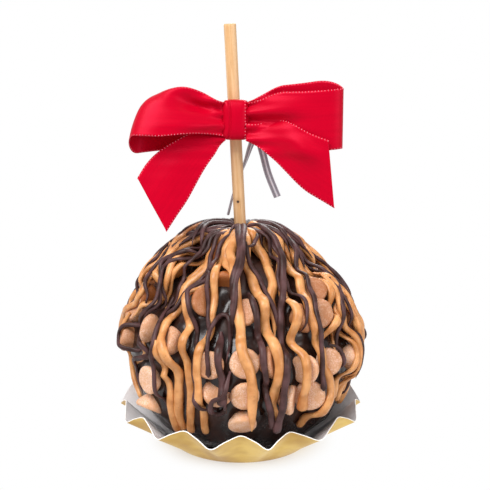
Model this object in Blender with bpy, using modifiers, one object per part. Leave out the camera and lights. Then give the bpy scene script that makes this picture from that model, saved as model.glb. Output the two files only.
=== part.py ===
"""Chocolate caramel apple: a dipped apple on a stick, drizzled, with baking chips, a satin
ribbon bow held by a twist tie, and a fluted gold paper cup.

Units are metres. +Z is up, the front faces -Y, and the origin is the centre of the cup's
underside. Azimuths run from the front towards +X, polar angles from the crown downwards.
"""
import math
import random
from dataclasses import dataclass

import bmesh
import bpy
from mathutils import Matrix, Vector

MM = 0.001
GAP = 0.3 * MM                      # air kept between separate pieces

# Paper cup: a flat floor and a flared wall with flutes that deepen towards the rim.
CUP_WALL = 0.5 * MM
CUP_FLOOR_RADIUS = 29.0 * MM
CUP_RIM_RADIUS = 49.5 * MM
CUP_RIM_HEIGHT = 16.4 * MM          # mean height of the rim
CUP_FLUTES = 14
CUP_FLUTE_DEPTH = 2.2 * MM          # the rim rises and falls by this much
CUP_FLUTE_PHASE = math.radians(0.5)
CUP_CROWDING = math.radians(4.0)    # some flutes are squeezed together by this much
CUP_CROWD_AZIMUTH = math.radians(26.0)
CUP_CROWD_WIDTH = math.radians(15.0)
CUP_STEPS_PER_FLUTE = 5
CUP_WALL_RINGS = 3
CUP_CORE_RADIUS = 14.0 * MM         # one flat triangle in the floor's middle, for the mount

# Dipped apple: a dome on a fuller lower half that is flat where it set on the cup's floor.
COAT_RADIUS = 45.0 * MM
COAT_WAIST_HEIGHT = 40.0 * MM       # height of the widest ring
COAT_DOME_RISE = 48.5 * MM
COAT_BASE_DROP = 41.0 * MM
DOME_POWER = 1.6
BASE_POWER = 2.4
COAT_FOOT_HEIGHT = CUP_WALL + GAP
DIMPLE_DEPTH = 3.0 * MM
DIMPLE_WIDTH = 9.0 * MM
COAT_SEGMENTS, COAT_RINGS = 22, 14

# Baking chips: round flat base and soft point.
CHIP_RADIUS = 5.6 * MM
CHIP_SHOULDER_RADIUS = 4.3 * MM
CHIP_SHOULDER_HEIGHT = 3.4 * MM
CHIP_HEIGHT = 7.0 * MM
CHIP_SIDES = 7
CHIP_PROUD = 5.0 * MM               # how far a chip stands out of the coat
CHIP_SEED = 7
BACK_CHIPS = 62                     # places of the even spread, front window included
FRONT_AZIMUTH = 74.0                # the chips inside this azimuth are placed by hand
CHIP_POLAR_RANGE = (30.0, 106.0)
BARE_FLANK = (104.0, 80.0)          # no spread chip within this azimuth below this polar angle

# Chips that show from the front: azimuth, polar angle, tip of the flat face away from the
# coat's normal, and the way it tips: 0 is down, 90 right, 180 up and -90 left.
FRONT_CHIPS = (
    (-45, 94, 6, -90), (-49, 106, 45, 0), (-50, 70, 60, -90), (-68, 58, 30, -60),
    (-33, 73, 45, -90), (-23, 55, 50, 90), (-13, 81, 8, 0), (-10, 44, 75, 0),
    (4, 59, 30, -90), (2, 80, 6, 0), (2, 95, 4, 0), (1, 108, 25, 0),
    (-11, 97, 65, 160), (47, 62, 35, -60), (52, 53, 40, -90), (70, 56, 30, 90),
    (32, 86, 55, -90), (34, 98, 35, -90), (32, 63, 50, 90), (21, 99, 55, 90),
    (12, 80, 60, 90), (45, 85, 35, -90), (72, 70, 40, 90), (-71, 80, 30, -90),
    (-60, 42, 20, 0), (62, 89, 30, 90),
)

# Drizzled strands: widths at mid length, and routes as (azimuth, polar angle) down the front.
CARAMEL_WIDTH = 4.4 * MM
CHOCOLATE_WIDTH = 3.4 * MM
STRAND_SINK = 0.2                   # share of its width that a strand sinks into the coat
STRAND_POINTS = 10
STRAND_SMOOTHING = 2                # rounds of averaging that let a strand bridge the chips
CHOCOLATE_LIFT = 1.2 * MM           # the chocolate was drizzled last and lies on the caramel
FRONT_CARAMEL = (
    ((-45, 13), (-70, 38), (-76, 56), (-85, 77), (-80, 92)),
    ((-20, 13), (-37, 43), (-40, 68), (-30, 88), (-32, 114)),
    ((-14, 24), (-32, 50), (-26, 74), (-23, 93), (-30, 116)),
    ((-10, 13), (-17, 44), (-15, 65), (-19, 86), (-20, 116)),
    ((-5, 22), (-3, 50), (1, 72), (4, 94), (5, 112)),
    ((7, 14), (11, 50), (15, 74), (15, 94), (18, 116)),
    ((20, 20), (26, 40), (18, 55), (19, 70)),
    ((40, 13), (44, 46), (38, 66), (40, 88), (35, 116)),
    ((32, 22), (29, 52), (26, 74), (28, 94), (28, 110)),
    ((64, 14), (62, 50), (58, 66), (42, 77)),
    ((84, 13), (74, 54), (74, 66), (86, 84), (66, 104)),
    ((60, 64), (60, 82), (57, 100), (48, 118)),
)
FRONT_CHOCOLATE = (
    ((-30, 9), (-70, 38), (-51, 57), (-84, 78), (-80, 87), (-59, 79)),
    ((-8, 12), (-52, 42), (-47, 56), (-62, 72), (-45, 82), (-50, 104)),
    ((2, 9), (0, 40), (-2, 68)),
    ((-25, 62), (-21, 86), (-10, 104)),
    ((20, 12), (31, 40), (21, 68), (19, 88), (16, 114)),
    ((8, 62), (10, 86), (15, 113)),
    ((48, 12), (47, 48), (38, 72), (37, 96)),
    ((80, 10), (80, 42), (63, 60), (52, 88)),
)
BACK_CARAMEL = 12
BACK_CHOCOLATE = 6
BACK_SWEEP = (86.0, 274.0)          # azimuths that the ruled strands fill
STRAND_WANDER = 7.0                 # degrees that a ruled strand strays sideways
STRAND_SEED = 23

# Stick: a dowel pushed into the apple, leaning a little to the left and to the front.
STICK_RADIUS = 2.4 * MM
STICK_FOOT_HEIGHT = 46.0 * MM
STICK_TOP_HEIGHT = 169.0 * MM
STICK_LEAN_LEFT = math.radians(2.8)
STICK_LEAN_FRONT = math.radians(4.0)
STICK_PIVOT_HEIGHT = 86.0 * MM      # where the leaning axis crosses the apple's axis
STICK_SIDES = 24

# Bow: knot, two loops and two tails of one satin ribbon, all placed from the knot's middle.
RIBBON_WIDTH = 22.5 * MM
RIBBON_THICKNESS = 0.4 * MM
KNOT_CENTRE = Vector((-1.8, -9.6, 132.4)) * MM
KNOT_SIZE = Vector((10.4, 7.0, 15.6)) * MM
KNOT_POWER = 3.0                    # how boxy the knot is; 2 is an ellipsoid
KNOT_FOLDS = 6
KNOT_FOLD_DEPTH = 0.05
ROOT_WIDTH = 13.0 * MM              # width of the gathered ribbon where it enters the knot
TAIL_GATHER = 34.0 * MM             # over this length a tail spreads to its full width
TURN_LENGTH = 13.0 * MM             # over this length the ribbon's width turns from upright
PLEAT_DEPTH = 0.7 * MM
PLEAT_PITCH = 5.0 * MM
PLEAT_REACH = 7.0 * MM              # distance over which the pleats fade
HUMP_PLACE, HUMP_WIDTH = 11.0 * MM, 6.0 * MM    # of a tail's hump, from its root
DROP_SHARE = 0.28                   # share of a loop's length over which its layer drops
LAYER_STEP = 1.5 * MM               # front and back layer at the knot, from its middle
LOOP_ARCH = math.radians(153)       # the loop's middle peaks before its far fold


@dataclass(frozen=True)
class Loop:
    """A loop that leaves the knot in front and comes back behind it."""
    side: int       # -1 is left, 1 is right
    reach: float    # from the knot's middle to the far fold
    bulge: float    # how far each layer swells away from the other
    rise: float     # arch of the middle line
    drop: float     # how much lower the back layer lies than the front one
    drop_from: float    # share of the length at which the layer starts to drop
    lift: float     # how much higher the far fold lies
    curl: float     # how far the far fold's upper corner curls down
    tilt: float     # how far the top edge tips back, as a slope
    slant: float    # how far the far fold leans outward at its foot, as a slope
    belly: float    # how far the far fold bows outward
    swing: float    # how far the far fold comes forward
    gather: float   # over this length the loop spreads to its full width


@dataclass(frozen=True)
class Tail:
    """A tail that spreads from the knot to a slanted end."""
    side: int
    root: float     # height of its root
    end: tuple      # middle of its end
    cut: float      # how much longer the lower edge is
    lean: float     # how far the width turns out of the view plane, as a slope
    bend: float     # arch of the tail outward
    front: float    # how far its root lies in front
    throat: float   # width at the knot as a share of a loop's
    hump: float     # rise of the upper edge just outside the knot


LOOPS = {
    "bow_loop_left": Loop(
        -1, reach=37.0 * MM, bulge=5.5 * MM, rise=3.0 * MM, drop=7.5 * MM, drop_from=0.36,
        lift=2.7 * MM, curl=5.8 * MM, tilt=0.35, slant=0.42, belly=1.5 * MM, swing=0.0,
        gather=23.0 * MM),
    "bow_loop_right": Loop(
        1, reach=40.6 * MM, bulge=4.0 * MM, rise=-0.8 * MM, drop=-4.6 * MM, drop_from=0.48,
        lift=0.9 * MM, curl=0.0, tilt=0.0, slant=0.0, belly=0.0, swing=8.0 * MM,
        gather=15.0 * MM),
}
TAILS = {
    "bow_tail_left": Tail(
        -1, root=-3.0 * MM, end=(-32.4 * MM, -6.5 * MM, -32.5 * MM), cut=7.0 * MM, lean=0.10,
        bend=2.8 * MM, front=0.0, throat=0.75, hump=0.0),
    "bow_tail_right": Tail(
        1, root=-4.9 * MM, end=(36.0 * MM, -14.0 * MM, -20.0 * MM), cut=14.0 * MM, lean=-0.15,
        bend=1.2 * MM, front=3.0 * MM, throat=0.48, hump=2.6 * MM),
}
LOOP_STEPS, TAIL_STEPS, RIBBON_STEPS = 22, 10, 4    # along a loop, along a tail, across

# Twist tie: a thin flat band that passes behind the stick, with two hanging ends.
TIE_WIDTH = 3.6 * MM
TIE_THICKNESS = 0.7 * MM
TIE_STEPS = 28
TIE_ROUTE = (                        # point of the band's middle, and the way it is wide
    ((-5.2, 3.6, 93.6), (0.1, 1.0, 0.0)),
    ((-2.4, 4.0, 104.0), (0.1, 1.0, 0.0)),
    ((1.8, 3.4, 115.0), (0.4, 0.9, 0.0)),
    ((4.6, 2.4, 123.0), (0.8, 0.6, 0.0)),
    ((6.8, 2.0, 125.0), (0.7, 0.3, -0.6)),
    ((8.8, 2.4, 119.6), (0.9, 0.3, 0.25)),
    ((11.3, 3.0, 110.4), (0.9, 0.2, 0.35)),
    ((15.1, 3.4, 101.0), (0.9, 0.1, 0.35)),
)


# Materials and objects ------------------------------------------------------------------

def finish(name, colour, roughness, metallic=0.0):
    """Return a Principled material of the given linear colour."""
    material = bpy.data.materials.new(name)
    material.use_nodes = True
    shader = material.node_tree.nodes["Principled BSDF"]
    shader.inputs["Base Color"].default_value = (*colour, 1.0)
    shader.inputs["Roughness"].default_value = roughness
    shader.inputs["Metallic"].default_value = metallic
    return material


def add_object(name, shape, collection, material=None):
    """Turn a bmesh into a named, smooth-shaded object of a collection."""
    mesh = bpy.data.meshes.new(name)
    shape.to_mesh(mesh)
    shape.free()
    if material:
        mesh.materials.append(material)
    mesh.shade_smooth()
    mesh.set_sharp_from_angle(angle=math.radians(40))
    placed = bpy.data.objects.new(name, mesh)
    collection.objects.link(placed)
    return placed


def evaluated_mesh(placed):
    """Return a plain mesh of an object with its modifiers or its curve's tube in it."""
    bpy.context.view_layer.update()
    graph = bpy.context.evaluated_depsgraph_get()
    return bpy.data.meshes.new_from_object(placed.evaluated_get(graph))


def smoothstep(value):
    value = min(max(value, 0.0), 1.0)
    return value * value * (3.0 - 2.0 * value)


def spline_point(points, share):
    """Point of a smooth curve through the given vectors, share running from 0 to 1."""
    spans = len(points) - 1
    place = min(max(share, 0.0), 1.0) * spans
    index = min(int(place), spans - 1)
    t = place - index
    before = points[max(index - 1, 0)]
    start, end = points[index], points[index + 1]
    after = points[min(index + 2, spans)]
    slope_in = (end - before) / 2
    slope_out = (after - start) / 2
    rise = end - start
    return start + slope_in * t + (3 * rise - 2 * slope_in - slope_out) * t * t \
        + (slope_in + slope_out - 2 * rise) * t ** 3


# The coat's surface ---------------------------------------------------------------------

def coat_profile(polar):
    """Radius and height of the coat at a polar angle in radians."""
    across, up = abs(math.sin(polar)), math.cos(polar)
    if up >= 0:
        radius = COAT_RADIUS * across ** (2 / DOME_POWER)
        dimple = DIMPLE_DEPTH * math.exp(-(radius / DIMPLE_WIDTH) ** 2)
        return radius, COAT_WAIST_HEIGHT + COAT_DOME_RISE * up ** (2 / DOME_POWER) - dimple
    radius = COAT_RADIUS * across ** (2 / BASE_POWER)
    height = COAT_WAIST_HEIGHT - COAT_BASE_DROP * (-up) ** (2 / BASE_POWER)
    return radius, max(height, COAT_FOOT_HEIGHT)


def coat_frame(azimuth, polar, proud=0.0):
    """Point at a height above the coat, and the coat's outward normal there (degrees in)."""
    azimuth, polar = math.radians(azimuth), math.radians(polar)
    step = math.radians(1.0)
    radius, height = coat_profile(polar)
    radius_above, height_above = coat_profile(polar - step)
    radius_below, height_below = coat_profile(polar + step)
    slope = Vector((radius_below - radius_above, height_below - height_above)).normalized()
    outward, upward = -slope.y, slope.x
    normal = Vector((outward * math.sin(azimuth), -outward * math.cos(azimuth), upward))
    foot = Vector((radius * math.sin(azimuth), -radius * math.cos(azimuth), height))
    return foot + normal * proud, normal


def coat_shape():
    """The dipped apple before anything is fused to it."""
    shape = bmesh.new()
    bmesh.ops.create_uvsphere(shape, u_segments=COAT_SEGMENTS, v_segments=COAT_RINGS, radius=1.0)
    for vert in shape.verts:
        flat = math.hypot(vert.co.x, vert.co.y)
        azimuth = math.atan2(vert.co.x, -vert.co.y)
        radius, height = coat_profile(math.atan2(flat, vert.co.z))
        if flat < 1e-6:
            radius = 0.0
        vert.co = (radius * math.sin(azimuth), -radius * math.cos(azimuth), height)
    return shape


# Chips ----------------------------------------------------------------------------------

def chip_places():
    """Azimuth, polar angle, tip and turn of every chip: by hand in front, by rule behind."""
    draw = random.Random(CHIP_SEED)
    places = [tuple(map(float, chip)) for chip in FRONT_CHIPS]
    golden = math.degrees(math.pi * (3 - math.sqrt(5)))
    top, bottom = (math.cos(math.radians(limit)) for limit in CHIP_POLAR_RANGE)
    for index in range(BACK_CHIPS):
        polar = math.degrees(math.acos(top + (bottom - top) * (index + 0.5) / BACK_CHIPS))
        azimuth = (index * golden + draw.uniform(-4, 4) + 180.0) % 360.0 - 180.0
        polar += draw.uniform(-3, 3)
        tip, turn = draw.uniform(0, 55), draw.uniform(0, 360)
        on_bare_flank = abs(azimuth) < BARE_FLANK[0] and polar > BARE_FLANK[1]
        if abs(azimuth) > FRONT_AZIMUTH and not on_bare_flank:
            places.append((azimuth, polar, tip, turn))
    return places


def chip_shape():
    """One chip, flat base outward at z = 0 and point below."""
    shape = bmesh.new()
    bmesh.ops.create_uvsphere(shape, u_segments=CHIP_SIDES, v_segments=3, radius=1.0)
    for vert in shape.verts:
        flat = math.hypot(vert.co.x, vert.co.y)
        if flat < 0.1:
            vert.co = (0, 0, 0 if vert.co.z > 0 else -CHIP_HEIGHT)
            continue
        on_base = vert.co.z > 0
        scale = (CHIP_RADIUS if on_base else CHIP_SHOULDER_RADIUS) / flat
        depth = 0 if on_base else -CHIP_SHOULDER_HEIGHT
        vert.co = (vert.co.x * scale, vert.co.y * scale, depth)
    return shape


def chip_matrix(azimuth, polar, tip, turn):
    """Where a chip lies: its base faces outward, tipped by `tip` towards `turn`."""
    face, normal = coat_frame(azimuth, polar, CHIP_PROUD)
    lean = Matrix.Rotation(math.radians(turn), 4, "Z") @ Matrix.Rotation(math.radians(tip), 4, "X")
    outward = normal.to_track_quat("Z", "Y").to_matrix().to_4x4()
    middle = Matrix.Translation((0, 0, CHIP_HEIGHT / 2))
    return Matrix.Translation(face) @ outward @ middle.inverted() @ lean @ middle


# Strands --------------------------------------------------------------------------------

def chip_rise(point, chip_middles):
    """How far a strand at this point of the coat is lifted by the chips under it."""
    reach = CHIP_RADIUS * 1.5
    nearest = min((point - middle).length for middle in chip_middles)
    return CHIP_PROUD * smoothstep((reach - nearest) / (reach * 0.55))


def ruled_routes(count, draw):
    """Routes of strands that run down the back, evenly spread with some wander."""
    start, end = BACK_SWEEP
    for index in range(count):
        azimuth = start + (end - start) * (index + 0.5) / count + draw.uniform(-3, 3)
        stops = (draw.uniform(9, 15), 45, 68, 88, draw.uniform(98, 116))
        yield tuple((azimuth + draw.uniform(-1, 1) * STRAND_WANDER, stop) for stop in stops)


def add_strand(name, route, width, lift, chip_middles, collection):
    """One strand of drizzle: a tube with thin ends along a route over coat and chips."""
    stops = [Vector(stop) for stop in route]
    shares = [index / (STRAND_POINTS - 1) for index in range(STRAND_POINTS)]
    places = [spline_point(stops, share) for share in shares]
    rises = [chip_rise(coat_frame(*place)[0], chip_middles) * smoothstep(share * 4)
             for place, share in zip(places, shares)]
    for _ in range(STRAND_SMOOTHING):
        padded = [rises[0], *rises, rises[-1]]
        rises = [max(padded[k + 1], sum(padded[k:k + 3]) / 3) for k in range(len(rises))]
    curve = bpy.data.curves.new(name, "CURVE")
    curve.dimensions = "3D"
    curve.bevel_depth = width / 2
    curve.bevel_resolution = 0
    curve.use_fill_caps = True
    spline = curve.splines.new("POLY")
    spline.points.add(STRAND_POINTS - 1)
    for point, place, share, rise in zip(spline.points, places, shares, rises):
        height = rise + lift + width * (0.5 - STRAND_SINK)
        point.co = (*coat_frame(*place, height)[0], 1.0)
        point.radius = 0.45 + 0.65 * smoothstep(min(share, 1 - share) * 5)
    tube = bpy.data.objects.new(name, curve)
    collection.objects.link(tube)
    mesh = evaluated_mesh(tube)
    bpy.data.objects.remove(tube)
    welded = bmesh.new()
    welded.from_mesh(mesh)
    bmesh.ops.remove_doubles(welded, verts=welded.verts, dist=1e-6)
    bmesh.ops.recalc_face_normals(welded, faces=welded.faces)
    return add_object(name, welded, collection)


# The fused apple ------------------------------------------------------------------------

def largest_shell(mesh):
    """Keep the biggest loose shell of a mesh: sealed hollows fill up and scraps go."""
    shape = bmesh.new()
    shape.from_mesh(mesh)
    waiting = set(shape.verts)
    shells = []
    while waiting:
        shell, edge = set(), [waiting.pop()]
        while edge:
            vert = edge.pop()
            shell.add(vert)
            linked = {link.other_vert(vert) for link in vert.link_edges} & waiting
            waiting -= linked
            edge.extend(linked)
        shells.append(shell)
    keep = max(shells, key=len)
    bmesh.ops.delete(shape, geom=[vert for vert in shape.verts if vert not in keep], context="VERTS")
    return shape


def build_apple(parts, cutters):
    """Coat, chips and strands as one solid, with a blind hole for the stick."""
    coat = finish("coat", (0.035, 0.013, 0.010), 0.25)
    toppings = bpy.data.collections.new("toppings")
    bpy.context.scene.collection.children.link(toppings)
    places = chip_places()
    chip = chip_shape()
    chip_mesh = bpy.data.meshes.new("chip")
    chip.to_mesh(chip_mesh)
    chip.free()
    for index, place in enumerate(places):
        topping = bpy.data.objects.new(f"chip_{index}", chip_mesh)
        topping.matrix_world = chip_matrix(*place)
        toppings.objects.link(topping)
    middles = [coat_frame(azimuth, polar)[0] for azimuth, polar, _, _ in places]
    draw = random.Random(STRAND_SEED)
    caramel = (*FRONT_CARAMEL, *ruled_routes(BACK_CARAMEL, draw))
    chocolate = (*FRONT_CHOCOLATE, *ruled_routes(BACK_CHOCOLATE, draw))
    for index, route in enumerate(caramel):
        add_strand(f"caramel_{index}", route, CARAMEL_WIDTH, 0.0, middles, toppings)
    for index, route in enumerate(chocolate):
        add_strand(f"chocolate_{index}", route, CHOCOLATE_WIDTH, CHOCOLATE_LIFT, middles, toppings)

    core = add_object("core", coat_shape(), parts)
    fuse = core.modifiers.new("fuse", "BOOLEAN")
    fuse.operation = "UNION"
    fuse.operand_type = "COLLECTION"
    fuse.collection = toppings
    fused = largest_shell(evaluated_mesh(core))
    bpy.data.objects.remove(core)
    for topping in list(toppings.objects):
        bpy.data.objects.remove(topping)
    bpy.data.collections.remove(toppings)

    apple = add_object("coated_apple", fused, parts, coat)
    hole = add_object("stick_hole", stick_shape(STICK_RADIUS + GAP, GAP), cutters)
    hole.hide_render = True
    hole.display_type = "WIRE"
    cut = apple.modifiers.new("stick_hole", "BOOLEAN")
    cut.operation = "DIFFERENCE"
    cut.object = hole


# Stick ----------------------------------------------------------------------------------

def stick_axis(height):
    """Point of the leaning stick's axis at a height."""
    above = height - STICK_PIVOT_HEIGHT
    return Vector((-above * math.tan(STICK_LEAN_LEFT), -above * math.tan(STICK_LEAN_FRONT), height))


def stick_shape(radius, extra):
    """A leaning round bar, longer by `extra` at its foot."""
    foot = stick_axis(STICK_FOOT_HEIGHT - extra)
    top = stick_axis(STICK_TOP_HEIGHT)
    axis = top - foot
    shape = bmesh.new()
    lean = Vector((0, 0, 1)).rotation_difference(axis).to_matrix().to_4x4()
    bmesh.ops.create_cone(
        shape, cap_ends=True, segments=STICK_SIDES, radius1=radius, radius2=radius,
        depth=axis.length, matrix=Matrix.Translation((foot + top) / 2) @ lean)
    return shape


def build_stick(parts):
    wood = finish("wood", (0.80, 0.60, 0.38), 0.6)
    add_object("stick", stick_shape(STICK_RADIUS, 0.0), parts, wood)


# Ribbon bow -----------------------------------------------------------------------------

def ribbon_sheet(name, place, steps, thickness, collection, material):
    """A strip with place(u, v) for its middle surface: u is 0 to 1 along, v is -1 to 1."""
    shape = bmesh.new()
    bmesh.ops.create_grid(shape, x_segments=steps[0], y_segments=steps[1], size=1.0)
    for vert in shape.verts:
        vert.co = place((vert.co.x + 1) / 2, vert.co.y)
    sheet = add_object(name, shape, collection, material)
    wall = sheet.modifiers.new("wall", "SOLIDIFY")
    wall.thickness = thickness
    wall.offset = 0.0
    return sheet


def half_width(distance, gather):
    """Half the ribbon's width at a distance from the knot, where it is gathered."""
    spread = smoothstep(distance / gather)
    return (ROOT_WIDTH + (RIBBON_WIDTH - ROOT_WIDTH) * spread) / 2


def pleat(distance, height):
    """Sideways push of the gathered ribbon's pleats, the same for every layer."""
    fade = math.exp(-max(distance, 0.0) / PLEAT_REACH)
    return PLEAT_DEPTH * fade * math.cos(2 * math.pi * height / PLEAT_PITCH)


def loop_surface(loop):
    """Middle surface of a loop, as a function of shares along and across the ribbon."""
    root = KNOT_SIZE.x / 2 + GAP
    upright = Vector((-loop.side * loop.slant, loop.tilt, 1.0)).normalized()

    def place(u, v):
        turn = math.pi * u
        outward = math.sin(turn) ** 0.85
        distance = (loop.reach - root) * outward
        layer = -math.cos(turn) * LAYER_STEP - math.sin(2 * turn) * loop.bulge
        height = loop.rise * math.sin(LOOP_ARCH * outward) + loop.lift * outward ** 3
        height -= loop.drop * smoothstep((u - loop.drop_from) / DROP_SHARE) * outward
        bowed = loop.belly * outward ** 4 * (1 - v * v)
        middle = Vector((loop.side * (root + distance + bowed), layer - loop.swing * outward, height))
        direction = Vector((0, 0, 1)).lerp(upright, smoothstep(distance / TURN_LENGTH))
        point = middle + direction * half_width(distance, loop.gather) * v
        point.y += pleat(distance, point.z)
        curled = loop.curl * outward ** 4 * max(v, 0.0) ** 2
        return KNOT_CENTRE + point + Vector((0, curled * 0.5, -curled))
    return place


def tail_surface(tail):
    """Middle surface of a tail, as a function of shares along and across the ribbon."""
    start = Vector((tail.side * (KNOT_SIZE.x / 2 + GAP), -tail.front, tail.root))
    run = Vector(tail.end) - start
    way = run.normalized()
    outer = Vector((-way.z, 0, way.x)) * tail.side
    width_way = (outer + Vector((0, tail.lean, 0))).normalized()

    def place(u, v):
        distance = u * (run.length - tail.cut / 2 * v)
        open_share = smoothstep(distance / TAIL_GATHER)
        middle = start + way * distance + outer * tail.bend * math.sin(math.pi * u)
        direction = Vector((0, 0, 1)).lerp(width_way, smoothstep(distance / TURN_LENGTH))
        narrow = tail.throat + (1 - tail.throat) * open_share
        point = middle + direction.normalized() * half_width(distance, TAIL_GATHER) * v * narrow
        humped = math.exp(-((distance - HUMP_PLACE) / HUMP_WIDTH) ** 2)
        point.z += tail.hump * humped * max(v, 0.0)
        point.y += pleat(distance, point.z)
        return KNOT_CENTRE + point
    return place


def build_bow(parts):
    satin = finish("satin", (0.72, 0.008, 0.035), 0.35)
    for name, loop in LOOPS.items():
        steps = (LOOP_STEPS, RIBBON_STEPS)
        ribbon_sheet(name, loop_surface(loop), steps, RIBBON_THICKNESS, parts, satin)
    for name, tail in TAILS.items():
        steps = (TAIL_STEPS, RIBBON_STEPS)
        ribbon_sheet(name, tail_surface(tail), steps, RIBBON_THICKNESS, parts, satin)
    add_object("bow_knot", knot_shape(), parts, satin)


def knot_shape():
    """The folded band round the middle of the bow: a boxy pillow with upright folds."""
    shape = bmesh.new()
    bmesh.ops.create_uvsphere(shape, u_segments=20, v_segments=8, radius=1.0)
    for vert in shape.verts:
        size = sum(abs(part) ** KNOT_POWER for part in vert.co) ** (1 / KNOT_POWER)
        folded = 1 + KNOT_FOLD_DEPTH * math.cos(KNOT_FOLDS * math.pi * vert.co.x)
        boxed = vert.co / size
        vert.co = Vector((boxed.x * KNOT_SIZE.x / 2, boxed.y * folded * KNOT_SIZE.y / 2,
                          boxed.z * KNOT_SIZE.z / 2)) + KNOT_CENTRE
    return shape


def build_tie(parts):
    paper = finish("tie", (0.42, 0.41, 0.42), 0.5)
    middles = [Vector(middle) * MM for middle, _ in TIE_ROUTE]
    ways = [Vector(way) for _, way in TIE_ROUTE]

    def place(u, v):
        return spline_point(middles, u) + spline_point(ways, u).normalized() * TIE_WIDTH / 2 * v
    ribbon_sheet("twist_tie", place, (TIE_STEPS, 1), TIE_THICKNESS, parts, paper)


# Paper cup ------------------------------------------------------------------------------

def cup_wall_point(azimuth, share):
    """Point of the cup's outer face; share runs from the floor's edge to the rim."""
    radius = CUP_FLOOR_RADIUS + (CUP_RIM_RADIUS - CUP_FLOOR_RADIUS) * share
    crowd = math.exp(-((azimuth - CUP_CROWD_AZIMUTH) / CUP_CROWD_WIDTH) ** 2)
    wave = math.cos(CUP_FLUTES * (azimuth - CUP_FLUTE_PHASE + CUP_CROWDING * crowd))
    height = CUP_RIM_HEIGHT * share + CUP_FLUTE_DEPTH * wave * share ** 1.3
    radius -= CUP_FLUTE_DEPTH * wave * share * 0.5
    return Vector((radius * math.sin(azimuth), -radius * math.cos(azimuth), height))


def build_cup(parts):
    gold = finish("gold_paper", (0.62, 0.44, 0.13), 0.35, 0.6)
    shape = bmesh.new()
    core = bmesh.ops.create_circle(shape, cap_ends=True, segments=3, radius=CUP_CORE_RADIUS)
    core_edge = list(shape.edges)
    sides = CUP_FLUTES * CUP_STEPS_PER_FLUTE
    bmesh.ops.create_circle(shape, segments=sides, radius=CUP_FLOOR_RADIUS)
    edge = [item for item in shape.edges if item not in core_edge]
    bmesh.ops.triangle_fill(shape, edges=core_edge + edge, use_beauty=True)
    for ring in range(CUP_WALL_RINGS):
        grown = bmesh.ops.extrude_edge_only(shape, edges=edge)["geom"]
        edge = [item for item in grown if isinstance(item, bmesh.types.BMEdge)]
        for vert in (item for item in grown if isinstance(item, bmesh.types.BMVert)):
            azimuth = math.atan2(vert.co.x, -vert.co.y)
            vert.co = cup_wall_point(azimuth, (ring + 1) / CUP_WALL_RINGS)
        edge = [item for item in edge if item.is_boundary]
    bmesh.ops.recalc_face_normals(shape, faces=shape.faces)
    shape.normal_update()
    if core["verts"][0].link_faces[0].normal.z > 0:
        bmesh.ops.reverse_faces(shape, faces=shape.faces)
    cup = add_object("paper_cup", shape, parts, gold)
    wall = cup.modifiers.new("wall", "SOLIDIFY")
    wall.thickness = CUP_WALL
    wall.offset = -1.0
    wall.use_even_offset = True


def main():
    for old in list(bpy.data.objects):
        bpy.data.objects.remove(old)
    parts = bpy.data.collections.new("chocolate_caramel_apple")
    cutters = bpy.data.collections.new("cutters")
    for collection in (parts, cutters):
        bpy.context.scene.collection.children.link(collection)
    build_cup(parts)
    build_apple(parts, cutters)
    build_stick(parts)
    build_bow(parts)
    build_tie(parts)


main()
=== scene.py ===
"""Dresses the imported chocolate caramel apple: coat, chips, drizzle, dowel, bow, tie and cup.

Lengths are in metres. +Z is up, the front faces -Y and the origin is the centre of the cup's
underside. Azimuths are in degrees from the front towards +X, polar angles in degrees from the
crown downwards.
"""
from __future__ import annotations

import logging
import math
import random
import sys
from collections.abc import Callable, Iterator, Sequence
from dataclasses import dataclass
from enum import Enum, IntEnum

import bmesh
import bpy
import numpy as np
from mathutils import Matrix, Vector, noise
from mathutils.kdtree import KDTree


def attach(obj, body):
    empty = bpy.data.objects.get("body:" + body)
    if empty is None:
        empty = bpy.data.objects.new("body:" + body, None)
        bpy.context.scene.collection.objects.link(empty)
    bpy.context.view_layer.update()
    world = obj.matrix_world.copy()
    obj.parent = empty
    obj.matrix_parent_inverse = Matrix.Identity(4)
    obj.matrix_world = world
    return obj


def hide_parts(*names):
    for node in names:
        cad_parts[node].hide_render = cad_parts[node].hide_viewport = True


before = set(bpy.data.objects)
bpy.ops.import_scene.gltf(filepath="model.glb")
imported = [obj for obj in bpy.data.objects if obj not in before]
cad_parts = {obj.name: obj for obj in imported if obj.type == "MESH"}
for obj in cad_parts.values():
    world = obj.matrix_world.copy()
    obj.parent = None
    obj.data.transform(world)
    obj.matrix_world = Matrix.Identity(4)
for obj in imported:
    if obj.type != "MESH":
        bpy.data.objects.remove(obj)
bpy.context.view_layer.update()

MM = 0.001
LOG = logging.getLogger("apple")

Array = np.ndarray
Piece = bpy.types.Object
Material = bpy.types.Material
Pair = tuple[float, float]
Triple = tuple[float, float, float]
Surface = Callable[[float, float], Vector]


# Node trees ----

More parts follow.
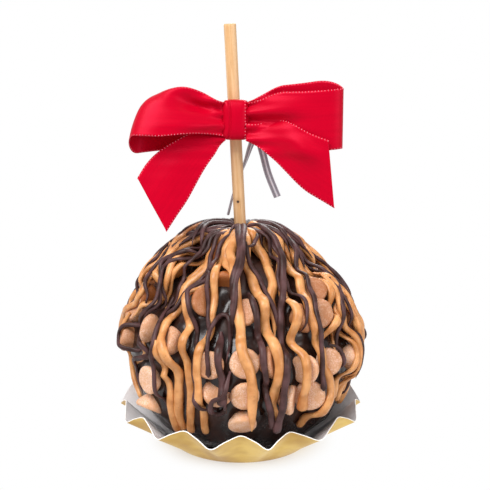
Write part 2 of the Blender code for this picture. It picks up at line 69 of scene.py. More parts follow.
class Signal:
    """An output socket of a node tree. Arithmetic on it adds Math nodes."""

    def __init__(self, forge: NodeForge, socket: bpy.types.NodeSocket) -> None:
        """Wrap the output socket of a forge's tree that carries the value."""
        self.forge = forge
        self.socket = socket

    def _maths(self, operation: str, left: object, right: object) -> Signal:
        """Return what one Math node makes of two values, each a signal or a number."""
        return self.forge.add("ShaderNodeMath", {"operation": operation}, {0: left, 1: right})

    def __add__(self, other: object) -> Signal:
        """Return self + other."""
        return self._maths("ADD", self, other)

    def __sub__(self, other: object) -> Signal:
        """Return self - other."""
        return self._maths("SUBTRACT", self, other)

    def __mul__(self, other: object) -> Signal:
        """Return self * other."""
        return self._maths("MULTIPLY", self, other)

    def __radd__(self, other: object) -> Signal:
        """Return other + self."""
        return self._maths("ADD", other, self)

    def __rsub__(self, other: object) -> Signal:
        """Return other - self."""
        return self._maths("SUBTRACT", other, self)

    def __rmul__(self, other: object) -> Signal:
        """Return other * self."""
        return self._maths("MULTIPLY", other, self)

    def __abs__(self) -> Signal:
        """Return the size of the value."""
        return self._maths("ABSOLUTE", self, 0.0)

    def band(self, low: float, high: float) -> Signal:
        """Ease the value from 0 at `low` to 1 at `high`, which may be the lower one."""
        return self.forge.add(
            "ShaderNodeMapRange", {"interpolation_type": "SMOOTHSTEP"},
            {"Value": self, "From Min": low, "From Max": high})


class NodeForge:
    """Adds nodes to a tree."""

    def __init__(self, tree: bpy.types.NodeTree) -> None:
        """Keep the tree that nodes go into."""
        self.tree = tree

    def add(self, kind: str, settings: dict[str, object] | None = None,
            sockets: dict[str | int, object] | None = None, output: str | int = 0) -> Signal:
        """Add one node.

        Args:
            kind: The node's type.
            settings: Its properties, set before its sockets.
            sockets: Values or signals for its inputs, by name, identifier or index.
            output: The output that is wanted.

        Returns:
            That output.
        """
        node = self.tree.nodes.new(kind)
        for name, value in (settings or {}).items():
            setattr(node, name, value)
        for key, value in (sockets or {}).items():
            self.feed(self.pick(node.inputs, key), value)
        return Signal(self, self.pick(node.outputs, output))

    def feed(self, socket: bpy.types.NodeSocket, value: object) -> None:
        """Set an input, or link one or several signals to it."""
        for item in value if isinstance(value, list) else [value]:
            if isinstance(item, Signal):
                self.tree.links.new(item.socket, socket)
            else:
                socket.default_value = item

    @staticmethod
    def pick(sockets: bpy.types.bpy_prop_collection, key: str | int) -> bpy.types.NodeSocket:
        """Return the socket of an index, an identifier or a name."""
        if isinstance(key, str):
            for socket in sockets:
                if socket.identifier == key:
                    return socket
        return sockets[key]


class ShaderForge(NodeForge):
    """Builds one Principled material."""

    def __init__(self, name: str) -> None:
        """Start a material of that name."""
        self.material = bpy.data.materials.new(name)
        self.material.use_nodes = True
        super().__init__(self.material.node_tree)
        self.shader = self.tree.nodes["Principled BSDF"]
        self.place = self.add("ShaderNodeTexCoord", output="Object")

    def noise(self, scale: float, detail: float = 2.0, roughness: float = 0.5,
              stretch: Triple = (1.0, 1.0, 1.0), place: Signal | None = None) -> Signal:
        """Return a noise of the place, 0 to 1.

        Args:
            scale: Lumps a metre.
            detail: Octaves.
            roughness: Strength of the finer octaves.
            stretch: How much faster the noise runs along each axis.
            place: Coordinates, the object's own ones if left out.
        """
        place = place or self.place
        if stretch != (1.0, 1.0, 1.0):
            place = self.add("ShaderNodeMapping", None, {"Vector": place, "Scale": stretch})
        sockets = {"Vector": place, "Scale": scale, "Detail": detail, "Roughness": roughness}
        return self.add("ShaderNodeTexNoise", None, sockets)

    def specks(self, scale: float, size: float) -> Signal:
        """Return small round dots, one for each cell.

        Args:
            scale: Cells a metre.
            size: The dot's radius as a share of a cell.
        """
        sockets = {"Vector": self.place, "Scale": scale}
        distance = self.add("ShaderNodeTexVoronoi", None, sockets, "Distance")
        return distance.band(size, size * 0.5)

    def blend(self, share: Signal | float, first: Signal | str, second: Signal | str) -> Signal:
        """Mix two colours.

        Args:
            share: 0 for the first colour, 1 for the second.
            first: A colour's signal or its written code.
            second: The same of the other colour.

        Returns:
            The mixed colour.
        """
        ends = [tone(end) if isinstance(end, str) else end for end in (first, second)]
        return self.add("ShaderNodeMix", {"data_type": "RGBA"},
                        {"Factor_Float": share, "A_Color": ends[0], "B_Color": ends[1]},
                        "Result_Color")

    def bump(self, height: Signal, distance: float, under: Signal | None = None) -> Signal:
        """Return a normal that a height of 0 to 1, worth `distance` metres, has bent."""
        sockets = {"Height": height, "Distance": distance, "Strength": 1.0}
        if under:
            sockets["Normal"] = under
        return self.add("ShaderNodeBump", None, sockets)

    def principled(self, sockets: dict[str, object]) -> Material:
        """Feed the Principled shader.

        Args:
            sockets: Its inputs by name.

        Returns:
            The finished material.
        """
        for name, value in sockets.items():
            self.feed(self.shader.inputs[name], value)
        return self.material


class GeometryForge(NodeForge):
    """Builds one geometry tree with named sizes, and runs it on an object."""

    def __init__(self, name: str) -> None:
        """Start a tree of that name."""
        super().__init__(bpy.data.node_groups.new(name, "GeometryNodeTree"))
        self.tree.interface.new_socket(
            "Geometry", in_out="OUTPUT", socket_type="NodeSocketGeometry")
        self.entry = self.tree.nodes.new("NodeGroupInput")
        self.dials: dict[str, str] = {}
        self.geometry = self.dial("Geometry", "NodeSocketGeometry")

    def dial(self, name: str, kind: str = "NodeSocketFloat") -> Signal:
        """Add a named input.

        Args:
            name: The input's name.
            kind: Its socket type.

        Returns:
            The input's signal.
        """
        item = self.tree.interface.new_socket(name, in_out="INPUT", socket_type=kind)
        self.dials[name] = item.identifier
        return Signal(self, self.entry.outputs[name])

    def attribute(self, name: str, kind: str = "FLOAT_VECTOR") -> Signal:
        """Return a named attribute of the geometry."""
        return self.add("GeometryNodeInputNamedAttribute", {"data_type": kind}, {"Name": name})

    def run(self, shape: Signal, material: Material, base: Piece,
            sizes: dict[str, object]) -> None:
        """Close the tree, run it on an object and leave its result there as a plain mesh.

        Args:
            shape: The geometry to give out.
            material: The material of all of it.
            base: Object whose mesh goes in and is replaced by the result.
            sizes: Values of the named inputs.
        """
        smooth = self.add("GeometryNodeSetShadeSmooth", None, {"Geometry": shape})
        solid = self.add("GeometryNodeRealizeInstances", None, {"Geometry": smooth})
        painted = self.add("GeometryNodeSetMaterial", None,
                           {"Geometry": solid, "Material": material})
        self.feed(self.tree.nodes.new("NodeGroupOutput").inputs[0], painted)
        modifier = base.modifiers.new(self.tree.name, "NODES")
        modifier.node_group = self.tree
        for name, value in sizes.items():
            modifier[self.dials[name]] = value
        bake_modifiers(base)


def bake_modifiers(placed: Piece) -> None:
    """Turn an object's modifiers into its plain mesh."""
    bpy.context.view_layer.update()
    graph = bpy.context.evaluated_depsgraph_get()
    mesh = bpy.data.meshes.new_from_object(placed.evaluated_get(graph))
    placed.modifiers.clear()
    placed.data = mesh
    mesh.name = placed.name


# Shared shapes and sums ----

def tone(code: str) -> tuple[float, ...]:
    """Return the linear colour of a written one such as "e0964f"."""
    shares = [int(code[index:index + 2], 16) / 255 for index in (0, 2, 4)]
    linear = [c / 12.92 if c <= 0.04045 else ((c + 0.055) / 1.055) ** 2.4 for c in shares]
    return (*linear, 1.0)


def smoothstep(value: float) -> float:
    """Ease a share from 0 to 1."""
    value = min(max(value, 0.0), 1.0)
    return value * value * (3.0 - 2.0 * value)


def spline_points(stops: Array, spans: int) -> Array:
    """Points of a smooth curve through some stops.

    Args:
        stops: The stops, one a row.
        spans: Points for each gap between two stops.

    Returns:
        The curve's points, both ends included.
    """
    padded = np.vstack([2 * stops[0] - stops[1], stops, 2 * stops[-1] - stops[-2]])
    share = np.arange(spans)[:, None] / spans
    pieces = []
    for first, start, end, last in zip(padded, padded[1:], padded[2:], padded[3:]):
        slope_in, slope_out = (end - first) / 2, (last - start) / 2
        rise = end - start
        pieces.append(start + slope_in * share
                      + (3 * rise - 2 * slope_in - slope_out) * share ** 2
                      + (slope_in + slope_out - 2 * rise) * share ** 3)
    return np.vstack([*pieces, stops[-1]])


def run_length(points: Array) -> Array:
    """Return the length along a row of points, from 0 at the first."""
    steps = np.linalg.norm(np.diff(points, axis=0), axis=1)
    return np.concatenate([[0.0], np.cumsum(steps)])


def fading(values: Array, limits: Pair) -> Array:
    """Return the share that is left: 1 up to the first limit, 0 from the second one on."""
    full, none = limits
    return np.clip((none - values) / (none - full), 0, 1)


def blurred(values: Array, width: float) -> Array:
    """Return a row of numbers after a Gaussian blur of that many steps."""
    reach = int(3 * width) + 1
    kernel = np.exp(-0.5 * (np.arange(-reach, reach + 1) / width) ** 2)
    return np.convolve(np.pad(values, reach, "edge"), kernel / kernel.sum(), "valid")


def highest_near(values: Array) -> Array:
    """Return the highest of each number and its two neighbours."""
    padded = np.pad(values, 1, "edge")
    return np.max([padded[:-2], values, padded[2:]], axis=0)


def new_object(name: str, points: Sequence, faces: Sequence, edges: Sequence = ()) -> Piece:
    """Make a smooth-shaded mesh object.

    Args:
        name: Its name.
        points: Its vertices.
        faces: Its faces, by vertex.
        edges: Its loose edges, by vertex.

    Returns:
        The object, linked to the scene.
    """
    mesh = bpy.data.meshes.new(name)
    mesh.from_pydata([tuple(point) for point in points], edges, faces)
    mesh.shade_smooth()
    placed = bpy.data.objects.new(name, mesh)
    bpy.context.scene.collection.objects.link(placed)
    return placed


def set_attribute(placed: Piece, name: str, values: Array) -> None:
    """Store one number or one vector for each vertex of an object.

    Args:
        placed: The object.
        name: The attribute's name.
        values: The numbers, or the vectors one a row.
    """
    values = np.asarray(values, np.float32)
    kind, field = ("FLOAT_VECTOR", "vector") if values.ndim == 2 else ("FLOAT", "value")
    attribute = placed.data.attributes.new(name, kind, "POINT")
    attribute.data.foreach_set(field, values.ravel())


def store_uv(placed: Piece, places: Sequence[Pair]) -> None:
    """Lay the UV map "cloth" over an object.

    Args:
        placed: The object.
        places: The UV of each of its vertices.
    """
    layer = placed.data.uv_layers.new(name="cloth")
    for corner in placed.data.loops:
        layer.data[corner.index].uv = places[corner.vertex_index]


def level_ring(radius: float | Array, height: float, turns: Array) -> Array:
    """Return the points of a level ring, one for each turn in radians."""
    return np.stack([radius * np.cos(turns), radius * np.sin(turns),
                     np.full(len(turns), height)], -1)


def even_turns(count: int) -> Array:
    """Return that many even turns of a full circle, in radians."""
    return np.arange(count) * 2 * math.pi / count


def ring_faces(rings: int, sides: int) -> list[tuple[int, ...]]:
    """Return the faces between closed rings of vertices, laid one after another."""
    faces = []
    for ring in range(rings - 1):
        low, high = ring * sides, (ring + 1) * sides
        for side in range(sides):
            after = (side + 1) % sides
            faces.append((low + side, low + after, high + after, high + side))
    return faces


def closed_rings(name: str, rings: Sequence[Array], start: Sequence, end: Sequence,
                 finish: Finish | None = None) -> Piece:
    """Make a closed skin over rings of points, with a point at either end.

    Args:
        name: The object's name.
        rings: Rings of the same number of points.
        start: Point that closes the first ring.
        end: Point that closes the last ring.
        finish: The finish of the skin, if it is a piece by itself.

    Returns:
        The object, with its faces outward.
    """
    sides, count = len(rings[0]), len(rings)
    points = [*np.vstack(rings), start, end]
    faces = ring_faces(count, sides)
    last = (count - 1) * sides
    for side in range(sides):
        after = (side + 1) % sides
        faces.append((after, side, count * sides))
        faces.append((last + side, last + after, count * sides + 1))
    placed = new_object(name, points, faces)
    shape = bmesh.new()
    shape.from_mesh(placed.data)
    bmesh.ops.recalc_face_normals(shape, faces=shape.faces)
    shape.to_mesh(placed.data)
    shape.free()
    if finish:
        placed.data.materials.append(finish.material())
    return placed


def hand_over(placed: Piece, node: str) -> None:
    """Let a finished piece stand for a CAD node.

    Args:
        placed: The piece.
        node: The CAD node that it replaces.
    """
    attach(placed, "root")
    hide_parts(node)
    triangles = sum(len(face.vertices) - 2 for face in placed.data.polygons)
    LOG.info("%s: %d triangles", placed.name, triangles)


# Finishes ----
# The noise scales are in lumps a metre, and the colours are written as red, green and blue.

SUGAR_GLOW = (0.6, 0.3, 0.15)  # reach of red, green and blue light


@dataclass(frozen=True)
class Finish:
    """A material with a name of its own."""
    name: str

    def shade(self, forge: ShaderForge) -> Material:
        """Fill in its nodes.

        Args:
            forge: The new material's tree.

        Returns:
            The material.
        """
        raise NotImplementedError

    def material(self) -> Material:
        """Return the material, made once."""
        return bpy.data.materials.get(self.name) or self.shade(ShaderForge(self.name))


@dataclass(frozen=True)
class CoatFinish(Finish):
    """Dark chocolate that set wet and glossy, with duller patches."""
    deep: str = "1d0f0c"
    warm: str = "3a2119"
    patch_scale: float = 120.0
    run_scale: float = 260.0
    run_depth: float = 0.5 * MM
    grain_scale: float = 1400.0
    grain_depth: float = 0.03 * MM

    def shade(self, forge: ShaderForge) -> Material:
        """Fill in its nodes."""
        patches = forge.noise(self.patch_scale, 3.0)
        fine = forge.noise(self.grain_scale, 3.0, 0.6)
        runs = forge.noise(self.run_scale, 2.0, stretch=(1.0, 1.0, 0.35))
        normal = forge.bump(runs, self.run_depth)
        return forge.principled({
            "Base Color": forge.blend(patches.band(0.35, 0.75), self.deep, self.warm),
            "Roughness": patches.band(0.4, 0.7) * 0.16 + 0.24 + fine * 0.05,
            "Normal": forge.bump(fine, self.grain_depth, normal),
            "Specular IOR Level": 0.35,
            "Coat Weight": patches.band(0.6, 0.4) * 0.35,
            "Coat Roughness": 0.12,
        })


@dataclass(frozen=True)
class DrizzleFinish(Finish):
    """Soft set drizzle with dots; painted highlight on its bumped lumps, painted shade between."""
    # deep is painted shade in the lumps' hollows, light a painted highlight on their crests
    deep: str = "b4743d"
    light: str = "dc9e64"
    dots: str = "6e4122"
    dot_share: float = 0.5
    roughness: float = 0.24  # at its smoothest
    gloss: float = 0.15
    softness: float = 0.1
    shine: float = 0.36
    cloud_scale: float = 190.0
    cloud_depth: float = 0.35 * MM
    grain_scale: float = 1700.0
    grain_depth: float = 0.035 * MM
    dot_scale: float = 620.0

    def shade(self, forge: ShaderForge) -> Material:
        """Fill in its nodes."""
        clouds = forge.noise(self.cloud_scale, 3.0)
        fine = forge.noise(self.grain_scale, 3.0, 0.6)
        rare = forge.noise(330.0, 1.0).band(0.52, 0.6)
        dots = forge.specks(self.dot_scale, 0.17) * rare * self.dot_share
        # The colour follows the bump's lumps: paler on their crests as painted highlight, deeper
        # between as painted shade.
        body = forge.blend(clouds.band(0.3, 0.7), self.deep, self.light)
        normal = forge.bump(clouds, self.cloud_depth)
        return forge.principled({
            "Base Color": forge.blend(dots, body, self.dots),
            "Roughness": clouds * 0.16 + fine * 0.1 + self.roughness,
            "Normal": forge.bump(fine, self.grain_depth, normal),
            "Specular IOR Level": self.shine,
            "Coat Weight": self.gloss,
            "Coat Roughness": 0.25,
            "Subsurface Weight": self.softness,
            "Subsurface Radius": SUGAR_GLOW,
            "Subsurface Scale": 2.0 * MM,
        })


@dataclass(frozen=True)
class ChipFinish(Finish):
    """Matte baking chip with a pale bloom, fine pits in painted shade and a tone of its own."""
    deep: str = "9c5720"
    light: str = "dda57a"
    bloom: str = "ecc9b4"
    # painted shade in the dents of the fine pits
    pit_shade: str = "8a5630"
    cloud_scale: float = 260.0
    grain_scale: float = 2100.0
    grain_depth: float = 0.2 * MM
    pit_scale: float = 1500.0
    pit_depth: float = 0.1 * MM

    def shade(self, forge: ShaderForge) -> Material:
        """Fill in its nodes."""
        own = forge.add("ShaderNodeAttribute", {"attribute_name": "chip_tone"}, None, "Fac")
        clouds = forge.noise(self.cloud_scale, 3.0, 0.6)
        fine = forge.noise(self.grain_scale, 4.0, 0.7)
        # The fine pits are dented by the bump and darkened there as painted shade.
        pits = forge.specks(self.pit_scale, 0.3) * forge.noise(500.0, 1.0).band(0.5, 0.65)
        body = forge.blend(own * 1.2 + clouds * 0.3 - 0.35, self.deep, self.light)
        dust = fine.band(0.4, 0.65) * clouds.band(0.3, 0.6) * (own * 1.2 - 0.1)
        dusted = forge.blend(dust, body, self.bloom)
        normal = forge.bump(fine, self.grain_depth)
        return forge.principled({
            "Base Color": forge.blend(pits * 0.55, dusted, self.pit_shade),
            "Roughness": fine * 0.2 + 0.42,
            "Normal": forge.bump(1 - pits, self.pit_depth, normal),
            "Subsurface Weight": 0.08,
            "Subsurface Radius": SUGAR_GLOW,
            "Subsurface Scale": 1.5 * MM,
        })


@dataclass(frozen=True)
class SatinFinish(Finish):
    """Crimson satin: floats of thread along the ribbon, which give a broad soft shine."""
    # deep and light are the darker and lighter crimson of painted fold shade and painted sheen
    deep: str = "90001a"
    light: str = "c80122"
    sheen: str = "ff3a5c"
    shine: str = "ff4a70"
    thread_scale: float = 5200.0  # across the ribbon
    thread_depth: float = 0.008 * MM
    sheen_streak_scale: float = 900.0
    fold_shade_scale: float = 120.0

    def shade(self, forge: ShaderForge) -> Material:
        """Fill in its nodes."""
        cloth = forge.add("ShaderNodeUVMap", {"uv_map": "cloth"})
        floats = forge.noise(self.thread_scale, 2.0, 0.6, (0.06, 1.0, 1.0), cloth)
        # Lengthwise lines of painted sheen and soft patches of painted fold shade, not tied to the
        # real folds, set the colour.
        sheen_streaks = forge.noise(self.sheen_streak_scale, 2.0, 0.5, (0.04, 1.0, 1.0), cloth)
        folds = forge.noise(self.fold_shade_scale, 2.0)
        return forge.principled({
            "Base Color": forge.blend(sheen_streaks * 0.3 + folds * 0.2 + 0.35, self.deep, self.light),
            "Roughness": floats * 0.1 + 0.3,
            "Normal": forge.bump(floats, self.thread_depth),
            "Sheen Weight": 0.03,
            "Sheen Roughness": 0.35,
            "Sheen Tint": tone(self.sheen),
            "Specular IOR Level": 0.42,
            "Specular Tint": tone(self.shine),
        })


@dataclass(frozen=True)
class StitchFinish(Finish):
    """Pale thread of the ribbon's woven edge."""
    deep: str = "dc3a55"
    light: str = "f58ea2"
    twist_scale: float = 5200.0
    twist_depth: float = 0.05 * MM

    def shade(self, forge: ShaderForge) -> Material:
        """Fill in its nodes."""
        twist = forge.noise(self.twist_scale, 1.0)
        return forge.principled({
            "Base Color": forge.blend(twist, self.deep, self.light),
            "Roughness": twist * 0.2 + 0.45,
            "Normal": forge.bump(twist, self.twist_depth),
        })


@dataclass(frozen=True)
class WoodFinish(Finish):
    """Pale birch: long grain lines, short pores and one dark pin knot."""
    light: str = "e0b788"
    deep: str = "c79660"
    pore: str = "a97a48"
    knot: str = "3a2013"
    lean: Pair = (0.0, 0.0)
    knot_place: Triple = (0.0, 0.0, 0.0)
    knot_radius: float = 0.6 * MM
    band_scale: float = 900.0  # across the grain
    fibre_scale: float = 3600.0
    fibre_depth: float = 0.06 * MM
    pore_scale: float = 2600.0

    def shade(self, forge: ShaderForge) -> Material:
        """Fill in its nodes."""
        upright = forge.add("ShaderNodeMapping", None, {
            "Vector": forge.place, "Rotation": (self.lean[0], self.lean[1], 0.0)})
        bands = forge.noise(self.band_scale, 3.0, 0.6, (1.0, 1.0, 0.03), upright)
        fibres = forge.noise(self.fibre_scale, 2.0, 0.6, (1.0, 1.0, 0.04), upright)
        pores = forge.noise(self.pore_scale, 1.0, 0.5, (1.0, 1.0, 0.09), upright)
        pored = pores.band(0.66, 0.78) * 0.5
        away = forge.add("ShaderNodeVectorMath", {"operation": "DISTANCE"},
                         {0: forge.place, 1: self.knot_place}, "Value")
        near = away * (1 / self.knot_radius)
        pin, halo = near.band(1.25, 0.6), near.band(4.0, 1.0)
        grain = forge.blend(bands.band(0.3, 0.75), self.light, self.deep)
        lined = forge.blend(pored + fibres.band(0.55, 0.8) * 0.3, grain, self.pore)
        warmed = forge.blend(halo * 0.35, lined, self.pore)
        return forge.principled({
            "Base Color": forge.blend(pin, warmed, self.knot),
            "Roughness": fibres * 0.2 + 0.42,
            "Normal": forge.bump(fibres - pin * 2.0, self.fibre_depth),
        })


@dataclass(frozen=True)
class TieFinish(Finish):
    """Coated wire band: grey wings and a pale raised middle."""
    wing: str = "77727a"
    middle: str = "c9c4cb"
    rim: str = "a8a3ab"
    speckle_scale: float = 2400.0
    speckle_depth: float = 0.03 * MM

    def shade(self, forge: ShaderForge) -> Material:
        """Fill in its nodes."""
        cloth = forge.add("ShaderNodeUVMap", {"uv_map": "cloth"})
        across = abs(forge.add("ShaderNodeSeparateXYZ", None, {"Vector": cloth}, "Y"))
        speckle = forge.noise(self.speckle_scale, 2.0)
        wing = forge.blend(speckle * 0.3, self.wing, self.rim)
        edged = forge.blend(across.band(0.78, 0.9), wing, self.rim)
        return forge.principled({
            "Base Color": forge.blend(across.band(0.3, 0.2), edged, self.middle),
            "Roughness": speckle * 0.15 + 0.35,
            "Normal": forge.bump(speckle, self.speckle_depth),
        })


@dataclass(frozen=True)
class FoilFinish(Finish):
    """Satin gold foil on board, faintly brushed, with small dents."""
    deep: str = "bf9338"
    light: str = "e8c464"
    metallic: float = 0.7
    cloud_scale: float = 70.0
    fibre_scale: float = 1500.0
    fibre_depth: float = 0.02 * MM
    dent_scale: float = 300.0
    dent_depth: float = 0.12 * MM

    def shade(self, forge: ShaderForge) -> Material:
        """Fill in its nodes."""
        clouds = forge.noise(self.cloud_scale, 2.0)
        fibre = forge.noise(self.fibre_scale, 3.0, 0.6)
        dents = forge.noise(self.dent_scale, 2.0)
        normal = forge.bump(dents, self.dent_depth)
        return forge.principled({
            "Base Color": forge.blend(clouds.band(0.3, 0.7), self.deep, self.light),
            "Metallic": self.metallic,
            "Roughness": fibre * 0.12 + 0.32,
            "Normal": forge.bump(fibre, self.fibre_depth, normal),
        })


@dataclass(frozen=True)
class BoardFinish(Finish):
    """Uncoated board with fine fibres."""
    light: str = "efecec"
    deep: str = "dedada"
    fibre_scale: float = 1300.0
    fibre_depth: float = 0.03 * MM

    def shade(self, forge: ShaderForge) -> Material:
        """Fill in its nodes."""
        fibre = forge.noise(self.fibre_scale, 3.0, 0.6)
        return forge.principled({
            "Base Color": forge.blend(fibre, self.deep, self.light),
            "Roughness": fibre * 0.1 + 0.6,
            "Normal": forge.bump(fibre, self.fibre_depth),
        })


# The coat and what lies on it ----

@dataclass(frozen=True)
class CoatSurface:
    """Round form of the dipped apple, which all its toppings are placed from."""
    radius: float = 45.0 * MM
    waist_height: float = 40.0 * MM
    dome_rise: float = 48.5 * MM
    base_drop: float = 41.0 * MM
    dome_power: float = 1.6
    base_power: float = 2.4
    foot_height: float = 0.8 * MM
    dimple_depth: float = 3.0 * MM
    dimple_width: float = 9.0 * MM
    hollow_depth: float = 3.2 * MM  # how far it is sunk under the piled drizzle
    hollow_fade: Pair = (16.0, 52.0)  # polar angles where it fades out

    def profile(self, polar: Array) -> tuple[Array, Array]:
        """Radius and height of the coat.

        Args:
            polar: Polar angles in degrees.

        Returns:
            The radii and the heights.
        """
        turn = np.radians(polar)
        across, up = np.abs(np.sin(turn)), np.cos(turn)
        upper = self.radius * across ** (2 / self.dome_power)
        lower = self.radius * across ** (2 / self.base_power)
        dimple = self.dimple_depth * np.exp(-(upper / self.dimple_width) ** 2)
        top = self.dome_rise * np.maximum(up, 0) ** (2 / self.dome_power) - dimple
        drop = self.base_drop * np.maximum(-up, 0) ** (2 / self.base_power)
        height = self.waist_height + np.where(up >= 0, top, -drop)
        return np.where(up >= 0, upper, lower), np.maximum(height, self.foot_height)

    def hollow(self, polar: Array) -> Array:
        """Return the depth of the hollow that the piled drizzle fills at the crown."""
        share = fading(polar, self.hollow_fade)
        return self.hollow_depth * share * share * (3 - 2 * share)

    def place(self, azimuth: Array, polar: Array) -> tuple[Array, Array]:
        """Points of the round form and its outward normals there.

        Args:
            azimuth: Azimuths in degrees.
            polar: Polar angles in degrees, of the same shape.

        Returns:
            The points and the normals, with x, y and z along the last axis.
        """
        radius, height = self.profile(polar)
        radius_above, height_above = self.profile(polar - 1.0)
        radius_below, height_below = self.profile(polar + 1.0)
        outward, upward = height_above - height_below, radius_below - radius_above
        length = np.hypot(outward, upward)
        sine, cosine = np.sin(np.radians(azimuth)), np.cos(np.radians(azimuth))
        points = np.stack([radius * sine, -radius * cosine, height], -1)
        normals = np.stack([outward * sine, -outward * cosine, upward], -1)
        return points, normals / length[..., None]


@dataclass
class Trail:
    """A strand's steps down the coat.

    Each step has its point of the coat with the normal there, its polar angle, and the strand's
    half width and half height.
    """
    feet: Array
    normals: Array
    polars: Array
    widths: Array
    heights: Array


class Blanket:
    """How high the toppings lie over the coat, on a grid of one degree."""
    lowest: float = 134.0  # polar angle where it ends
    margin: int = 4  # rows beyond a strand's reach
    least_radius: float = 35.0 * MM  # least way from the middle to the coat

    def __init__(self, surface: CoatSurface) -> None:
        """Start with a bare coat, hollow at its crown."""
        self.surface = surface
        polar, azimuth = np.meshgrid(np.arange(1.0, self.lowest), np.arange(-180.0, 180.0),
                                     indexing="ij")
        self.feet, self.normals = surface.place(azimuth, polar)
        self.height = -surface.hollow(polar)

    def cover(self, points: Array) -> None:
        """Raise the blanket over closely set points, such as a chip's vertices.

        Args:
            points: The points, one a row.
        """
        flat_feet = self.feet.reshape(-1, 3)
        tree = KDTree(len(flat_feet))
        for index, foot in enumerate(flat_feet):
            tree.insert(foot, index)
        tree.balance()
        nearest = [tree.find(point)[1] for point in points]
        lift = np.einsum("ij,ij->i", points - flat_feet[nearest],
                         self.normals.reshape(-1, 3)[nearest])
        np.maximum.at(self.height.reshape(-1), nearest, lift)
        rows = np.pad(self.height, ((1, 1), (0, 0)), "edge")
        tall = np.max([rows[:-2], rows[1:-1], rows[2:]], axis=0)
        self.height = np.max([np.roll(tall, -1, 1), tall, np.roll(tall, 1, 1)], axis=0)

    def _cells(self, trail: Trail) -> Iterator[tuple[slice, Array, Array]]:
        """Find the cells that a strand covers.

        Args:
            trail: The strand's steps.

        Yields:
            For each step the rows near it, which of their cells it covers, and how far its
            skin lies over its middle there.
        """
        for foot, polar, wide, tall in zip(trail.feet, trail.polars, trail.widths, trail.heights):
            span = self.margin + int(math.degrees(wide / self.least_radius))
            low = max(int(polar) - 1 - span, 0)
            rows = slice(low, low + 2 * span + 1)
            distance = np.linalg.norm(self.feet[rows] - foot, axis=-1)
            near = distance < wide
            yield rows, near, tall * np.sqrt(1 - (distance[near] / wide) ** 2)

    def support(self, trail: Trail) -> Array:
        """Return the heights at which a strand's middle just rests on what is there."""
        lowest = -self.surface.hollow_depth
        return np.array([(self.height[rows][near] + skin).max(initial=lowest)
                         for rows, near, skin in self._cells(trail)])

    def lay(self, trail: Trail, middles: Array) -> None:
        """Raise the blanket over a strand whose middle lies that high over the coat."""
        for (rows, near, skin), middle in zip(self._cells(trail), middles):
            part = self.height[rows]
            part[near] = np.maximum(part[near], middle + skin)


class StrandEnd(Enum):
    """How a strand of drizzle ends."""
    POINT = "drawn out to a point"
    DROP = "a small rounded drop"
    CUT = "rounded off where nobody sees it"


POINT, DROP, CUT = StrandEnd


@dataclass(frozen=True)
class Strand:
    """One strand of drizzle.

    It has its full width in mm, the azimuths and polar angles of its route down the coat, its
    end, and how far in mm it arches over the pile.
    """
    width: float
    route: tuple[Pair, ...]
    end: StrandEnd = POINT
    lift: float = 0.0


